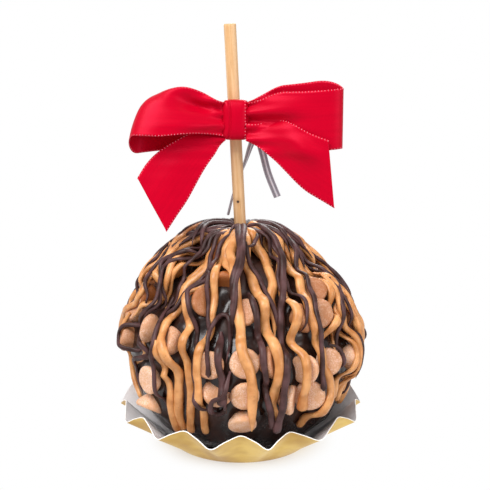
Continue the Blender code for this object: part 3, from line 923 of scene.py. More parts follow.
FRONT_CARAMEL = tuple(Strand(*row) for row in (
    (3.2, ((-104, 14), (-96, 22), (-84, 29), (-72, 36), (-67, 43)), POINT, 1.6),
    (3.4, ((150, 6), (112, 8), (80, 11), (58, 16), (50, 22)), POINT, 1.8),
    (3.4, ((112, 10), (94, 18), (77, 24), (62, 31), (58, 38)), POINT, 1.4),
    (3.2, ((122, 18), (105, 27), (92, 35), (85, 43)), POINT, 1.4),
    (3.4, ((60, 6), (31, 10), (40, 14), (35, 18))),
    (2.8, ((-36, 22), (-49, 29), (-55, 37), (-60, 45), (-61, 52))),
    (2.4, ((-28, 22), (-40, 32), (-47, 40), (-51, 47), (-53, 55), (-48, 62))),
    (3.0, ((-53, 36), (-54, 43), (-52, 50), (-56, 57), (-62, 63), (-68, 69))),
    (2.6, ((-30, 10), (-50, 16), (-76, 24), (-90, 34), (-92, 44), (-90, 54), (-88, 62), (-90, 70))),
    (3.0, ((-30, 9), (-44, 15), (-74, 22), (-88, 28), (-88, 34), (-80, 42), (-75, 48), (-68, 53),
      (-65, 58), (-72, 64), (-82, 70), (-88, 77), (-88, 84), (-82, 92))),
    (3.0, ((-25, 12), (-45, 19), (-60, 24), (-68, 31), (-66, 38), (-66, 44), (-70, 48), (-58, 53),
      (-55, 58))),
    (2.4, ((-20, 12), (-31, 26), (-36, 35), (-40, 42), (-45, 46), (-42, 52))),
    (2.6, ((-59, 73), (-57, 78), (-54, 83), (-58, 88), (-66, 93), (-70, 98))),
    (2.8, ((-70, 68), (-74, 78), (-80, 90), (-76, 102), (-68, 112)), CUT),
    (3.9, ((-13, 10), (-26, 20), (-37, 27), (-32, 35), (-33, 41), (-40, 49), (-38, 56), (-40, 64),
      (-38, 72), (-33, 79), (-30, 86), (-30, 96), (-32, 108), (-33, 122)), CUT),
    (3.0, ((-38, 74), (-37, 82), (-36, 92), (-35, 102), (-35, 123)), CUT),
    (3.3, ((-8, 11), (-19, 23), (-24, 30), (-23, 39), (-28, 47), (-31, 53), (-28, 60), (-26, 70),
      (-26, 79), (-24, 90), (-24, 102), (-28, 123)), CUT),
    (3.0, ((-5, 12), (-11, 25), (-20, 32), (-17, 41), (-15, 51), (-15, 61), (-16, 70), (-18, 78),
      (-18, 87), (-17, 96), (-19, 122)), CUT),
    (3.6, ((-6, 14), (-9, 27), (-14, 32), (-11, 38), (-6, 43), (-4, 50))),
    (4.0, ((0, 12), (-5, 26), (-8, 34), (-4, 43), (-2, 54), (0, 65), (1, 75), (4, 84), (5, 94),
      (5, 111))),
    (3.9, ((3, 12), (6, 26), (7, 36), (9, 43), (12, 53), (13, 64), (15, 75), (16, 84), (15, 94),
      (14, 101), (18, 113)), CUT),
    (3.7, ((10, 12), (20, 23), (28, 30), (26, 37), (24, 46), (19, 54), (19, 62), (18, 69))),
    (3.8, ((26, 12), (50, 24), (52, 33), (46, 42), (41, 50), (37, 60), (37, 68), (39, 78), (39, 88),
      (42, 95), (38, 105), (33, 120)), CUT),
    (3.5, ((20, 10), (48, 17), (59, 25), (44, 35), (31, 45), (28, 55), (28, 62), (25, 71), (28, 80),
      (28, 92), (28, 104)), DROP),
    (3.4, ((60, 10), (80, 19), (78, 28), (64, 36), (59, 43), (61, 50), (58, 57), (56, 65), (49, 70),
      (41, 76))),
    (2.8, ((80, 10), (98, 24), (94, 34), (84, 39), (85, 45), (79, 50))),
    (2.4, ((76, 46), (82, 51), (85, 57), (82, 63), (80, 69), (83, 75), (80, 81), (73, 85))),
    (2.8, ((75, 58), (73, 67), (73, 75), (73, 83), (68, 92), (64, 100))),
    (2.9, ((74, 54), (69, 60), (62, 68), (62, 77), (60, 88), (55, 95), (56, 108)), CUT),
    (2.9, ((78, 58), (70, 66), (67, 72), (70, 80), (70, 90), (64, 98), (62, 112)), CUT),
    (2.7, ((74, 68), (76, 77), (84, 87), (80, 93), (76, 99), (68, 108)), CUT),
    (2.6, ((72, 48), (66, 57), (60, 65), (56, 74), (53, 82), (54, 92))),
    (3.0, ((66, 46), (67, 54), (66, 62), (67, 70), (67, 78), (65, 86), (61, 95), (60, 106))),
    (2.6, ((71, 52), (73, 60), (71, 68), (72, 76), (71, 84), (67, 92))),
    (2.8, ((62, 48), (62, 56), (60, 64), (61, 72), (63, 80), (62, 88), (58, 97))),
))
FRONT_CHOCOLATE = tuple(Strand(*row) for row in (
    (2.0, ((-18, 9), (-60, 10), (-100, 15), (-104, 26), (-100, 38), (-92, 47), (-96, 58), (-90, 72),
      (-94, 86))),
    (2.0, ((-14, 8), (-40, 14), (-58, 20), (-68, 27), (-69, 34), (-73, 41), (-71, 48), (-65, 54),
      (-60, 58), (-59, 64))),
    (2.0, ((-24, 8), (-48, 14), (-70, 20), (-80, 27), (-80, 35), (-84, 42), (-80, 49), (-74, 55))),
    (1.8, ((-10, 11), (-30, 18), (-46, 22), (-53, 29), (-52, 36), (-58, 42), (-57, 50), (-50, 56),
      (-52, 63))),
    (2.1, ((-10, 10), (-16, 18), (-38, 20), (-47, 25), (-44, 32), (-54, 39), (-64, 44), (-57, 50),
      (-51, 57), (-53, 64), (-61, 71), (-61, 75), (-53, 79), (-51, 83), (-58, 88), (-68, 93))),
    (1.8, ((-8, 12), (-18, 21), (-38, 24), (-39, 32), (-47, 39), (-58, 46), (-51, 55), (-52, 62),
      (-57, 68), (-64, 71), (-70, 74), (-73, 79), (-69, 83), (-62, 84), (-58, 80), (-58, 76))),
    (1.8, ((-5, 10), (-13, 20), (-30, 23), (-31, 31), (-27, 39), (-30, 46), (-36, 52), (-38, 59),
      (-45, 64), (-42, 70), (-40, 77), (-46, 83), (-55, 86), (-62, 91), (-65, 98), (-62, 105),
      (-57, 110))),
    (1.8, ((-3, 12), (-9, 21), (-19, 26), (-22, 33), (-20, 41), (-23, 47), (-29, 52), (-26, 59),
      (-23, 66), (-22, 75), (-22, 84), (-21, 92), (-16, 100), (-8, 105))),
    (1.6, ((-26, 44), (-20, 45), (-19, 51), (-17, 59), (-15, 67), (-14, 76), (-13, 88)), DROP),
    (2.1, ((27, 8), (60, 15), (78, 22), (73, 29), (58, 37), (48, 47), (43, 56), (39, 65), (38, 75),
      (37, 85), (36, 95)), DROP),
    (2.0, ((50, 8), (74, 16), (86, 25), (82, 33), (75, 38), (76, 43), (76, 49), (68, 55), (61, 62),
      (57, 70), (54, 81), (52, 88))),
    (1.8, ((5, 31), (12, 30), (17, 27), (24, 24), (18, 19), (8, 21))),
    (1.8, ((20, 13), (40, 22), (43, 31), (35, 42), (34, 50), (35, 58), (32, 65), (29, 70))),
    (1.8, ((2, 14), (4, 28), (9, 37), (15, 45), (18, 54), (20, 64), (21, 71))),
    (1.8, ((70, 10), (92, 20), (90, 30), (78, 37), (75, 43), (68, 49), (62, 54))),
    (1.3, ((76, 48), (81, 54), (80, 60), (76, 66), (80, 73), (82, 80))),
    (1.7, ((43, 76), (47, 79), (49, 84), (52, 91)), DROP),
    (1.3, ((77, 76), (81, 88), (78, 94), (66, 98), (64, 104))),
    (1.6, ((64, 52), (65, 62), (64, 71), (65, 80), (62, 88), (60, 96))),
    (1.9, ((-48, 54), (-46, 60), (-40, 71), (-39, 82), (-39, 93), (-39, 102), (-39, 114)), CUT),
    (2.5, ((5, 50), (8, 64), (9, 72), (10, 85), (12, 98), (15, 112)), DROP),
    (1.7, ((-14, 74), (-14, 66), (-12, 61), (-9, 59), (-6, 61), (-5, 66), (-5, 72), (-6, 80))),
    (2.9, ((-10, 66), (-9, 73), (-9, 81), (-7, 90), (-7, 98)), DROP),
    (1.9, ((-4, 84), (-6, 93), (-11, 96), (-12, 102), (-9, 105), (-6, 100), (-6, 92))),
    (2.0, ((-14, 9), (-30, 18), (-62, 24), (-88, 31), (-104, 42), (-108, 60), (-104, 80),
      (-106, 100)), CUT),
    (1.9, ((-30, 8), (-62, 17), (-95, 24), (-118, 36), (-124, 54), (-120, 74))),
    (1.9, ((20, 9), (42, 15), (66, 24), (78, 36), (70, 48), (74, 58), (80, 72), (76, 92),
      (70, 110)), CUT),
    (1.9, ((60, 8), (92, 16), (108, 28), (104, 42), (96, 56), (98, 72))),
    (1.8, ((10, 10), (30, 16), (38, 26), (36, 36), (29, 44), (26, 52), (23, 60))),
    (1.7, ((-6, 10), (-26, 17), (-42, 26), (-41, 35), (-45, 44), (-43, 53), (-46, 60))),
    (2.5, ((-120, 6), (-120, 14), (-105, 22), (-88, 29), (-80, 37)), POINT, 1.6),
    (3.0, ((-60, 5), (-104, 8), (-98, 14), (-80, 20), (-62, 26), (-54, 32)), POINT, 2.0),
    (2.5, ((-40, 5), (-82, 10), (-78, 17), (-63, 22), (-49, 27), (-46, 33)), POINT, 1.5),
    (2.8, ((100, 6), (93, 12), (78, 19), (65, 26), (60, 34)), POINT, 1.8),
    (2.5, ((134, 8), (114, 17), (97, 25), (86, 33), (80, 41)), POINT, 1.5),
    (2.8, ((-8, 7), (-5, 18), (-1, 29), (0, 38), (-3, 45), (-4, 52), (-4, 58)), POINT, 1.3),
    (2.6, ((14, 7), (5, 20), (2, 32), (1, 40), (-2, 48), (-3, 56), (-4, 68)), POINT, 1.3),
    (2.7, ((40, 5), (54, 14), (42, 22), (41, 31), (35, 40), (29, 48), (23, 57), (21, 68), (19, 80),
      (18, 90), (17, 101), (16, 113)), DROP, 1.2),
))


WIDTH_SPREAD = (0.8, 1.2)  # share of its width that a ruled strand has


@dataclass(frozen=True)
class RuledStrands:
    """Strands down the back, spread evenly and left to wander."""
    count: int
    width: float
    seed: int
    azimuths: Pair = (100.0, 262.0)  # they begin between these
    starts: Pair = (8.0, 14.0)  # and between these polar angles
    stops: range = range(24, 120, 12)
    ends: tuple[float, ...] = (84.0, 100.0, 116.0, 120.0)
    least_gap: float = 6.0  # from the last stop to the end
    hidden: float = 110.0  # below this the cup hides the ends
    wander: float = 6.0  # most degrees of stray at each stop

    def strands(self) -> Iterator[Strand]:
        """Yield the strands in the order in which they were drizzled."""
        draw = random.Random(self.seed)
        order = list(range(self.count))
        draw.shuffle(order)
        first, last = self.azimuths
        for index in order:
            azimuth = first + (last - first) * (index + 0.5) / self.count
            lowest = draw.choice(self.ends)
            stops = (draw.uniform(*self.starts), *self.stops)
            route = []
            for stop in (*(stop for stop in stops if stop < lowest - self.least_gap), lowest):
                azimuth += draw.uniform(-1, 1) * self.wander
                route.append((azimuth, stop))
            width = self.width * draw.uniform(*WIDTH_SPREAD)
            end = draw.choice((POINT, DROP)) if lowest < self.hidden else CUT
            yield Strand(width, tuple(route), end)


@dataclass(frozen=True)
class CrownFan:
    """Short strands that fan out from the stick all round and cover the crown."""
    count: int
    width: float
    seed: int
    ends: Pair = (40.0, 58.0)  # polar angles where they end
    start: float = 6.0  # and where they begin
    front: float = 55.0  # azimuth within which they end sooner
    front_share: float = 0.62  # by this share
    stops: tuple[float, ...] = (0.0, 0.3, 0.6, 1.0)  # shares of the way down
    sway: float = 10.0  # degrees by which they curve at most
    wander: float = 2.0  # most degrees of stray at each stop
    lift: float = 1.6  # mm of arch at most

    def strands(self) -> Iterator[Strand]:
        """Yield the strands in the order in which they were drizzled."""
        draw = random.Random(self.seed)
        turns = [360.0 * (index + 0.5) / self.count - 180.0 for index in range(self.count)]
        draw.shuffle(turns)
        for azimuth in turns:
            sway = draw.uniform(-self.sway, self.sway)
            fall = draw.uniform(*self.ends) * (self.front_share if abs(azimuth) < self.front else 1)
            fall -= self.start
            route = tuple((azimuth + sway * share ** 2 + draw.uniform(-self.wander, self.wander),
                           self.start + fall * share) for share in self.stops)
            yield Strand(self.width * draw.uniform(*WIDTH_SPREAD), route,
                         lift=max(draw.uniform(-self.lift, self.lift), 0))


@dataclass
class Drizzle:
    """All the strands of one kind of drizzle, laid one after another on the blanket."""
    name: str
    blanket: Blanket
    strands: tuple[Strand, ...]
    finish: DrizzleFinish
    seed: int
    flatness: float = 0.8  # height over width
    sink: float = 0.55  # share of its half height
    sides: int = 10
    step: float = 0.9 * MM  # from one section to the next
    spline_steps: int = 12  # from one stop of a route to the next
    stray: float = 0.13  # degrees of sideways wobble
    stray_waves: tuple[float, ...] = (11.0 * MM, 19.0 * MM)
    ripple: float = 0.08  # share by which the width swells and thins
    ripple_waves: tuple[float, ...] = (8.3 * MM, 14.0 * MM, 23.0 * MM)
    start_length: float = 4.0 * MM  # over which it widens
    start_share: float = 0.25  # of its width at the very start, squared
    point_length: float = 9.0 * MM  # over which it thins to a point
    point_share: float = 0.06  # least share of that length
    point_power: float = 0.75  # below 1 it thins later
    round_share: float = 0.02  # least of a round end's width, squared
    drop_swell: float = 0.3  # share by which a drop is thicker
    drop_shape: Pair = (1.2, 1.6)  # its middle and half length
    bridge: float = 1.4 * MM  # length of the bumps it evens out
    dip: float = 0.3 * MM  # how far it may cut into one
    last_blur: float = 0.7  # steps of the last smoothing
    soft_height: float = 6.0 * MM  # above it, strands sink into the pile
    crown_height: float = 1.6 * MM  # the same at the crown
    spare_height: float = 4.0 * MM  # most that they rise over it
    crown_spare: float = 0.4  # share by which that is less at the crown
    crown: Pair = (12.0, 46.0)  # polar angles between which the crown ends
    arch_ends: Pair = (3.0 * MM, 8.0 * MM)  # lengths over which a lifted strand climbs and falls
    arch_fade: Pair = (34.0, 48.0)  # polar angles where the lift fades out
    lean_share: float = 0.6  # how much thinner the right shoulder is
    lean_azimuth: Pair = (88.0, 34.0)  # middle and half width
    lean_polar: Pair = (38.0, 20.0)

    def trace(self, strand: Strand, draw: random.Random) -> tuple[Array, Array]:
        """Even steps along a strand's route.

        Args:
            strand: The strand.
            draw: Source of the wobble.

        Returns:
            Azimuths and polar angles of the steps.
        """
        azimuth, polar = np.array(strand.route, float).T
        turn = np.radians(azimuth)
        stops = np.stack([polar * np.sin(turn), polar * np.cos(turn)], -1)
        flat = spline_points(stops, self.spline_steps)
        feet, _ = self.blanket.surface.place(*self.angles(flat))
        length = run_length(feet)
        steps = np.linspace(0, length[-1], max(int(length[-1] / self.step), 4))
        flat = np.stack([np.interp(steps, length, flat[:, k]) for k in (0, 1)], -1)
        for axis in (0, 1):
            for wave in self.stray_waves:
                phase = draw.uniform(0, 2 * math.pi)
                flat[:, axis] += self.stray * np.sin(2 * math.pi * steps / wave + phase)
        return self.angles(flat)

    @staticmethod
    def angles(flat: Array) -> tuple[Array, Array]:
        """Return the azimuths and polar angles of points on the unrolled coat."""
        return np.degrees(np.arctan2(flat[:, 0], flat[:, 1])), np.hypot(flat[:, 0], flat[:, 1])

    def widths(self, strand: Strand, count: int, draw: random.Random) -> Array:
        """Half widths along a strand.

        Args:
            strand: The strand.
            count: Number of steps.
            draw: Source of the ripple.

        Returns:
            One half width for each step.
        """
        place = np.arange(count) * self.step
        full = strand.width * MM / 2
        ripple = sum(np.sin(2 * math.pi * place / wave + draw.uniform(0, 2 * math.pi))
                     for wave in self.ripple_waves) * self.ripple / 2
        left = place[-1] - place
        if strand.end is POINT:
            close = np.clip(left / self.point_length, self.point_share, 1) ** self.point_power
        else:
            inward = 1 - np.clip(left / full, 0, 1)
            close = np.sqrt(np.maximum(1 - inward ** 2, self.round_share))
        if strand.end is DROP:
            middle, reach = self.drop_shape
            close *= 1 + self.drop_swell * np.exp(-((left - full * middle) / (reach * full)) ** 2)
        start = np.sqrt(np.clip(place / self.start_length, self.start_share, 1))
        return full * (1 + ripple) * close * start

    def arch(self, polar: Array) -> Array:
        """Return the share of its lift that a strand has at each step, by its polar angle."""
        place = np.arange(len(polar)) * self.step
        rise, fall = self.arch_ends
        ends = np.clip(place / rise, 0, 1) * np.clip((place[-1] - place) / fall, 0, 1)
        return ends * fading(polar, self.arch_fade)

    def shoulder(self, azimuth: Array, polar: Array) -> Array:
        """Return how far each step lies on the right shoulder, where the pile is thin."""
        (turn, turn_width), (height, height_width) = self.lean_azimuth, self.lean_polar
        across, down = (azimuth - turn) / turn_width, (polar - height) / height_width
        return np.exp(-across ** 2 - down ** 2)

    def rest(self, strand: Strand, trail: Trail, azimuth: Array) -> Array:
        """How high a strand's middle comes to lie over the coat.

        Args:
            strand: The strand.
            trail: Its steps.
            azimuth: Their azimuths.

        Returns:
            One height for each step.
        """
        rest = self.blanket.support(trail) - trail.heights * self.sink
        eased = blurred(highest_near(rest), self.bridge / self.step)
        middle = blurred(np.maximum(eased, rest - self.dip), self.last_blur)
        near_top = fading(trail.polars, self.crown)
        soft = self.soft_height + (self.crown_height - self.soft_height) * near_top
        soft *= 1 - self.lean_share * self.shoulder(azimuth, trail.polars)
        spare = self.spare_height * (1 - self.crown_spare * near_top)
        over = np.maximum(middle - soft, 0)
        middle = np.minimum(middle, soft) + spare * (1 - np.exp(-over / spare))
        return middle + strand.lift * MM * self.arch(trail.polars)

    def build(self) -> None:
        """Lay every strand and sweep its section along it."""
        draw = random.Random(self.seed)
        points, edges, girths, outward = [], [], [], []
        for strand in self.strands:
            azimuth, polar = self.trace(strand, draw)
            wide = self.widths(strand, len(polar), draw)
            feet, normals = self.blanket.surface.place(azimuth, polar)
            trail = Trail(feet, normals, polar, wide, wide * self.flatness)
            middle = self.rest(strand, trail, azimuth)
            self.blanket.lay(trail, middle)
            first = len(points)
            points.extend(trail.feet + trail.normals * middle[:, None])
            edges.extend((first + k, first + k + 1) for k in range(len(polar) - 1))
            girths.extend(wide)
            outward.extend(trail.normals)
        placed = new_object(self.name, points, (), edges)
        set_attribute(placed, "girth", np.array(girths))
        set_attribute(placed, "outward", np.array(outward))
        self.sweep(placed)
        hand_over(placed, "coated_apple")

    def sweep(self, placed: Piece) -> None:
        """Turn the centre lines into flattened tubes with a geometry tree.

        Args:
            placed: The lines, with their half widths and their ways outward.
        """
        forge = GeometryForge("sweep_strands")
        sides, flatness = forge.dial("Sides", "NodeSocketInt"), forge.dial("Flatness")
        line = forge.add("GeometryNodeMeshToCurve", None, {"Mesh": forge.geometry})
        turned = forge.add("GeometryNodeSetCurveNormal", {"mode": "FREE"},
                           {"Curve": line, "Normal": forge.attribute("outward")})
        circle = forge.add("GeometryNodeCurvePrimitiveCircle", None,
                           {"Resolution": sides, "Radius": 1.0})
        squeeze = forge.add("ShaderNodeCombineXYZ", None, {"X": flatness, "Y": 1.0, "Z": 1.0})
        section = forge.add("GeometryNodeTransform", None, {"Geometry": circle, "Scale": squeeze})
        tube = forge.add("GeometryNodeCurveToMesh", None, {
            "Curve": turned, "Profile Curve": section, "Fill Caps": True,
            "Scale": forge.attribute("girth", "FLOAT")})
        forge.run(tube, self.finish.material(), placed,
                  {"Sides": self.sides, "Flatness": self.flatness})


@dataclass(frozen=True)
class Chip:
    """Where a chip sits: its place on the coat, and how its flat face is tipped.

    A tip of 0 looks straight out. The way is 0 down, 90 right, 180 up and -90 left.
    """
    azimuth: float
    polar: float
    tip: float
    way: float


FRONT_CHIPS = tuple(Chip(*row) for row in (
    (-45, 94, 6, -90), (-49, 106, 45, 0), (-50, 70, 60, -90), (-68, 58, 30, -60),
    (-33, 73, 45, -90), (-23, 55, 50, 90), (-13, 81, 8, 0), (-10, 44, 75, 0), (4, 59, 30, -90),
    (2, 80, 6, 0), (2, 95, 4, 0), (1, 108, 25, 0), (-11, 97, 65, 160), (47, 62, 35, -60),
    (52, 53, 40, -90), (70, 56, 30, 90), (32, 86, 55, -90), (34, 98, 35, -90), (32, 63, 50, 90),
    (21, 99, 55, 90), (12, 80, 60, 90), (45, 85, 35, -90), (72, 70, 40, 90), (-71, 80, 30, -90),
    (-60, 42, 20, 0), (62, 89, 30, 90),
))


@dataclass
class BakingChips:
    """Round baking chips with a flat base and a soft point, set in the coat."""
    blanket: Blanket
    finish: ChipFinish
    seed: int = 7
    spread: int = 62  # even places all round, some of them left out
    front_azimuth: float = 74.0  # the chips inside it are listed one by one
    polar_range: Pair = (30.0, 106.0)
    bare_flank: Pair = (104.0, 80.0)  # none nearer the front and lower
    stray: Pair = (4.0, 3.0)  # degrees by azimuth and by polar angle
    tip: float = 55.0  # degrees that one behind is tipped at most
    proud: float = 5.0 * MM  # how far a chip's face stands out of the coat
    sink: float = 0.8  # share of the crown's hollow
    height: float = 7.0 * MM
    dish: float = 0.15 * MM  # how deep the middle of its face is
    profile: tuple[Pair, ...] = (
        (2.6, -0.10), (4.4, 0.02), (5.1, -0.12), (5.55, -0.6), (5.65, -1.4), (5.25, -2.6),
        (4.3, -4.0), (3.0, -5.3), (1.7, -6.3), (0.7, -6.85))  # radii and heights in mm
    sides: int = 24
    sizes: Pair = (0.93, 1.05)
    lumps: float = 0.45 * MM
    lump_scale: float = 190.0  # lumps a metre
    pale_from: float = 58.0  # polar angle where they grow paler
    pale_over: float = 60.0  # and over how many degrees
    own_tone: float = 0.5  # most that one is paler by itself

    def places(self) -> list[Chip]:
        """Return every chip: listed in front, by rule behind."""
        draw = random.Random(self.seed)
        chips = list(FRONT_CHIPS)
        golden = math.degrees(math.pi * (3 - math.sqrt(5)))
        top, bottom = (math.cos(math.radians(limit)) for limit in self.polar_range)
        for index in range(self.spread):
            share = (index + 0.5) / self.spread
            polar = math.degrees(math.acos(top + (bottom - top) * share))
            across, down = (draw.uniform(-stray, stray) for stray in self.stray)
            azimuth = (index * golden + across + 180.0) % 360.0 - 180.0
            polar += down
            tip, way = draw.uniform(0, self.tip), draw.uniform(0, 360)
            flank = abs(azimuth) < self.bare_flank[0] and polar > self.bare_flank[1]
            if abs(azimuth) > self.front_azimuth and not flank:
                chips.append(Chip(azimuth, polar, tip, way))
        return chips

    def matrix(self, chip: Chip) -> Matrix:
        """Where a chip lies.

        Args:
            chip: The chip.

        Returns:
            The matrix that takes a chip with its base at z = 0 and its point below there.
        """
        surface = self.blanket.surface
        foot, normal = surface.place(np.array(chip.azimuth), np.array(chip.polar))
        lean = Matrix.Rotation(math.radians(chip.way), 4, "Z") \
            @ Matrix.Rotation(math.radians(chip.tip), 4, "X")
        outward = Vector(normal).to_track_quat("Z", "Y").to_matrix().to_4x4()
        middle = Matrix.Translation((0, 0, self.height / 2))
        proud = self.proud - self.sink * surface.hollow(np.array(chip.polar))
        face = Matrix.Translation(Vector(foot + normal * proud))
        return face @ outward @ middle.inverted() @ lean @ middle

    def form(self) -> Piece:
        """Return one chip as a turned shape."""
        turns = even_turns(self.sides)
        rings = [level_ring(radius, height, turns) * MM for radius, height in self.profile]
        return closed_rings("chip_form", rings, (0, 0, -self.dish), (0, 0, -self.height))

    def build(self) -> None:
        """Set every chip in the coat and raise the blanket over it."""
        draw = random.Random(self.seed)
        chips = self.places()
        matrices = [self.matrix(chip) for chip in chips]
        placed = new_object("baking_chips", [m.translation for m in matrices], ())
        set_attribute(placed, "turn", np.array([m.to_euler() for m in matrices]))
        set_attribute(placed, "size", np.array([draw.uniform(*self.sizes) for _ in chips]))
        tones = [(chip.polar - self.pale_from) / self.pale_over + draw.uniform(0, self.own_tone)
                 for chip in chips]
        set_attribute(placed, "own_tone", np.clip(tones, 0, 1))
        form = self.form()
        self.scatter(placed, form)
        bpy.data.objects.remove(form)
        self.blanket.cover(np.array([vert.co for vert in placed.data.vertices]))
        hand_over(placed, "coated_apple")

    def scatter(self, placed: Piece, form: Piece) -> None:
        """Put a copy of the form on every point with a geometry tree, and dent each one.

        Args:
            placed: The points, with a turn, a size and a tone for each.
            form: The form of one chip.
        """
        forge = GeometryForge("scatter_chips")
        source = forge.dial("Chip", "NodeSocketObject")
        lumps, seed = forge.dial("Lumps"), forge.dial("Seed")
        chip = forge.add("GeometryNodeObjectInfo", None, {"Object": source}, "Geometry")
        turn = forge.add("FunctionNodeEulerToRotation", None, {"Euler": forge.attribute("turn")})
        copies = forge.add("GeometryNodeInstanceOnPoints", None, {
            "Points": forge.geometry, "Instance": chip, "Rotation": turn,
            "Scale": forge.attribute("size", "FLOAT")})
        toned = forge.add("GeometryNodeStoreNamedAttribute", {"domain": "INSTANCE"}, {
            "Geometry": copies, "Name": "chip_tone",
            "Value": forge.attribute("own_tone", "FLOAT")})
        solid = forge.add("GeometryNodeRealizeInstances", None, {"Geometry": toned})
        wobble = forge.add("ShaderNodeTexNoise", {"noise_dimensions": "4D"},
                           {"Scale": self.lump_scale, "Detail": 1.0, "W": seed}, "Color")
        centred = forge.add("ShaderNodeVectorMath", {"operation": "SUBTRACT"},
                            {0: wobble, 1: (0.5, 0.5, 0.5)})
        push = forge.add("ShaderNodeVectorMath", {"operation": "SCALE"},
                         {0: centred, "Scale": lumps * 2})
        dented = forge.add("GeometryNodeSetPosition", None, {"Geometry": solid, "Offset": push})
        forge.run(dented, self.finish.material(), placed,
                  {"Chip": form, "Lumps": self.lumps, "Seed": float(self.seed)})


@dataclass
class DippedApple:
    """The dark coat under the toppings, with runs in it and a rim round every chip."""
    surface: CoatSurface
    chips: list[Chip]
    finish: CoatFinish
    around: int = 260
    down: int = 150
    ends: Pair = (3.0, 177.0)  # polar angles of the first and last ring
    lump_size: float = 9.0 * MM
    lump_depth: float = 1.1 * MM
    run_size: float = 4.0 * MM
    run_stretch: float = 0.3  # how fast the noise runs downwards, a share
    run_depth: float = 0.7 * MM
    rim_height: float = 1.3 * MM
    rim_radius: float = 6.0 * MM
    rim_width: float = 2.0 * MM
    smooth: Pair = (120.0, 150.0)  # polar angles where the relief fades out

    def build(self) -> None:
        """Make the coat's skin."""
        polar, azimuth = np.meshgrid(np.linspace(*self.ends, self.down),
                                     np.arange(self.around) * 360 / self.around, indexing="ij")
        feet, normals = self.surface.place(azimuth, polar)
        raised = feet + normals * self.relief(feet, polar)[..., None]
        raised[..., 2] = np.maximum(raised[..., 2], self.surface.foot_height)
        top = (0, 0, raised[0, :, 2].mean())
        placed = closed_rings("apple_coat", list(raised), top, (0, 0, self.surface.foot_height),
                              self.finish)
        hand_over(placed, "coated_apple")

    def relief(self, feet: Array, polar: Array) -> Array:
        """How far the coat stands out of its round form.

        Args:
            feet: Points of the round form.
            polar: Their polar angles.

        Returns:
            One height for each point.
        """
        flat = feet.reshape(-1, 3)
        lumps = np.array([noise.noise(Vector(p)) for p in flat / self.lump_size])
        lumps *= self.lump_depth
        stretched = flat / self.run_size * (1, 1, self.run_stretch)
        runs = np.array([noise.noise(Vector(p)) for p in stretched]) * self.run_depth
        height = lumps + runs
        for chip in self.chips:
            foot, _ = self.surface.place(np.array(chip.azimuth), np.array(chip.polar))
            distance = np.linalg.norm(flat - foot, axis=1)
            rim = np.exp(-np.maximum(distance - self.rim_radius, 0) ** 2 / self.rim_width ** 2)
            height = np.maximum(height, lumps + self.rim_height * rim)
        height = height.reshape(polar.shape) * fading(polar, self.smooth)
        return height - self.surface.hollow(polar)


# Stick ----

@dataclass
class Dowel:
    """Wooden stick, pushed into the apple and leaning a little."""
    radius: float = 2.4 * MM
    foot_height: float = 46.0 * MM
    top_height: float = 169.0 * MM
    lean_left: float = math.radians(2.8)
    lean_front: float = math.radians(4.0)
    pivot_height: float = 86.0 * MM
    chamfer: float = 0.25 * MM
    chamfer_middle: Pair = (0.08 * MM, 0.12 * MM)  # down and in, at the top
    core: float = 0.5  # share of the top's last ring
    straight: Pair = (0.02, 0.99)  # shares of its length with even rings
    rings: int = 60
    sides: int = 64
    waves: tuple[Triple, ...] = ((0.004, 2.0, 90.0), (0.003, 5.0, -210.0))  # depth, lobes, twist
    sharp_from: float = math.radians(50)
    knot_height: float = 99.7 * MM
    knot_azimuth: float = -9.0

    def axis(self, height: float) -> Vector:
        """Return the point of the leaning axis at a height."""
        above = height - self.pivot_height
        return Vector((-above * math.tan(self.lean_left), -above * math.tan(self.lean_front),
                       height))

    def build(self) -> None:
        """Make the stick."""
        foot, top = self.axis(self.foot_height), self.axis(self.top_height)
        run = top - foot
        turn = Vector((0, 0, 1)).rotation_difference(run).to_matrix().to_4x4()
        length, wide = run.length, self.radius
        stations = [(0.0, wide - self.chamfer), (self.chamfer, wide)]
        stations += [(length * share, wide) for share in np.linspace(*self.straight, self.rings)]
        down, inward = self.chamfer_middle
        stations += [(length - self.chamfer, wide), (length - down, wide - inward),
                     (length, wide - self.chamfer), (length, wide * self.core)]
        turns = even_turns(self.sides)
        rings = []
        for station, radius in stations:
            uneven = np.ones(self.sides)
            for depth, lobes, twist in self.waves:
                uneven += depth * np.sin(lobes * turns + station * twist)
            ring = level_ring(radius * uneven, station, turns)
            rings.append(np.array([foot + turn @ Vector(point) for point in ring]))
        placed = closed_rings("stick_dowel", rings, foot, top, self.finish())
        placed.data.set_sharp_from_angle(angle=self.sharp_from)
        hand_over(placed, "stick")

    def finish(self) -> WoodFinish:
        """Return the wood, with its grain along the stick and its knot in place."""
        turn = math.radians(self.knot_azimuth)
        spot = self.axis(self.knot_height) \
            + Vector((math.sin(turn), -math.cos(turn), 0)) * self.radius
        return WoodFinish("pale_wood", lean=(-self.lean_front, self.lean_left),
                          knot_place=tuple(spot))


# Ribbon bow ----

class Side(IntEnum):
    """Side of the bow, as the sign of x."""
    LEFT = -1
    RIGHT = 1


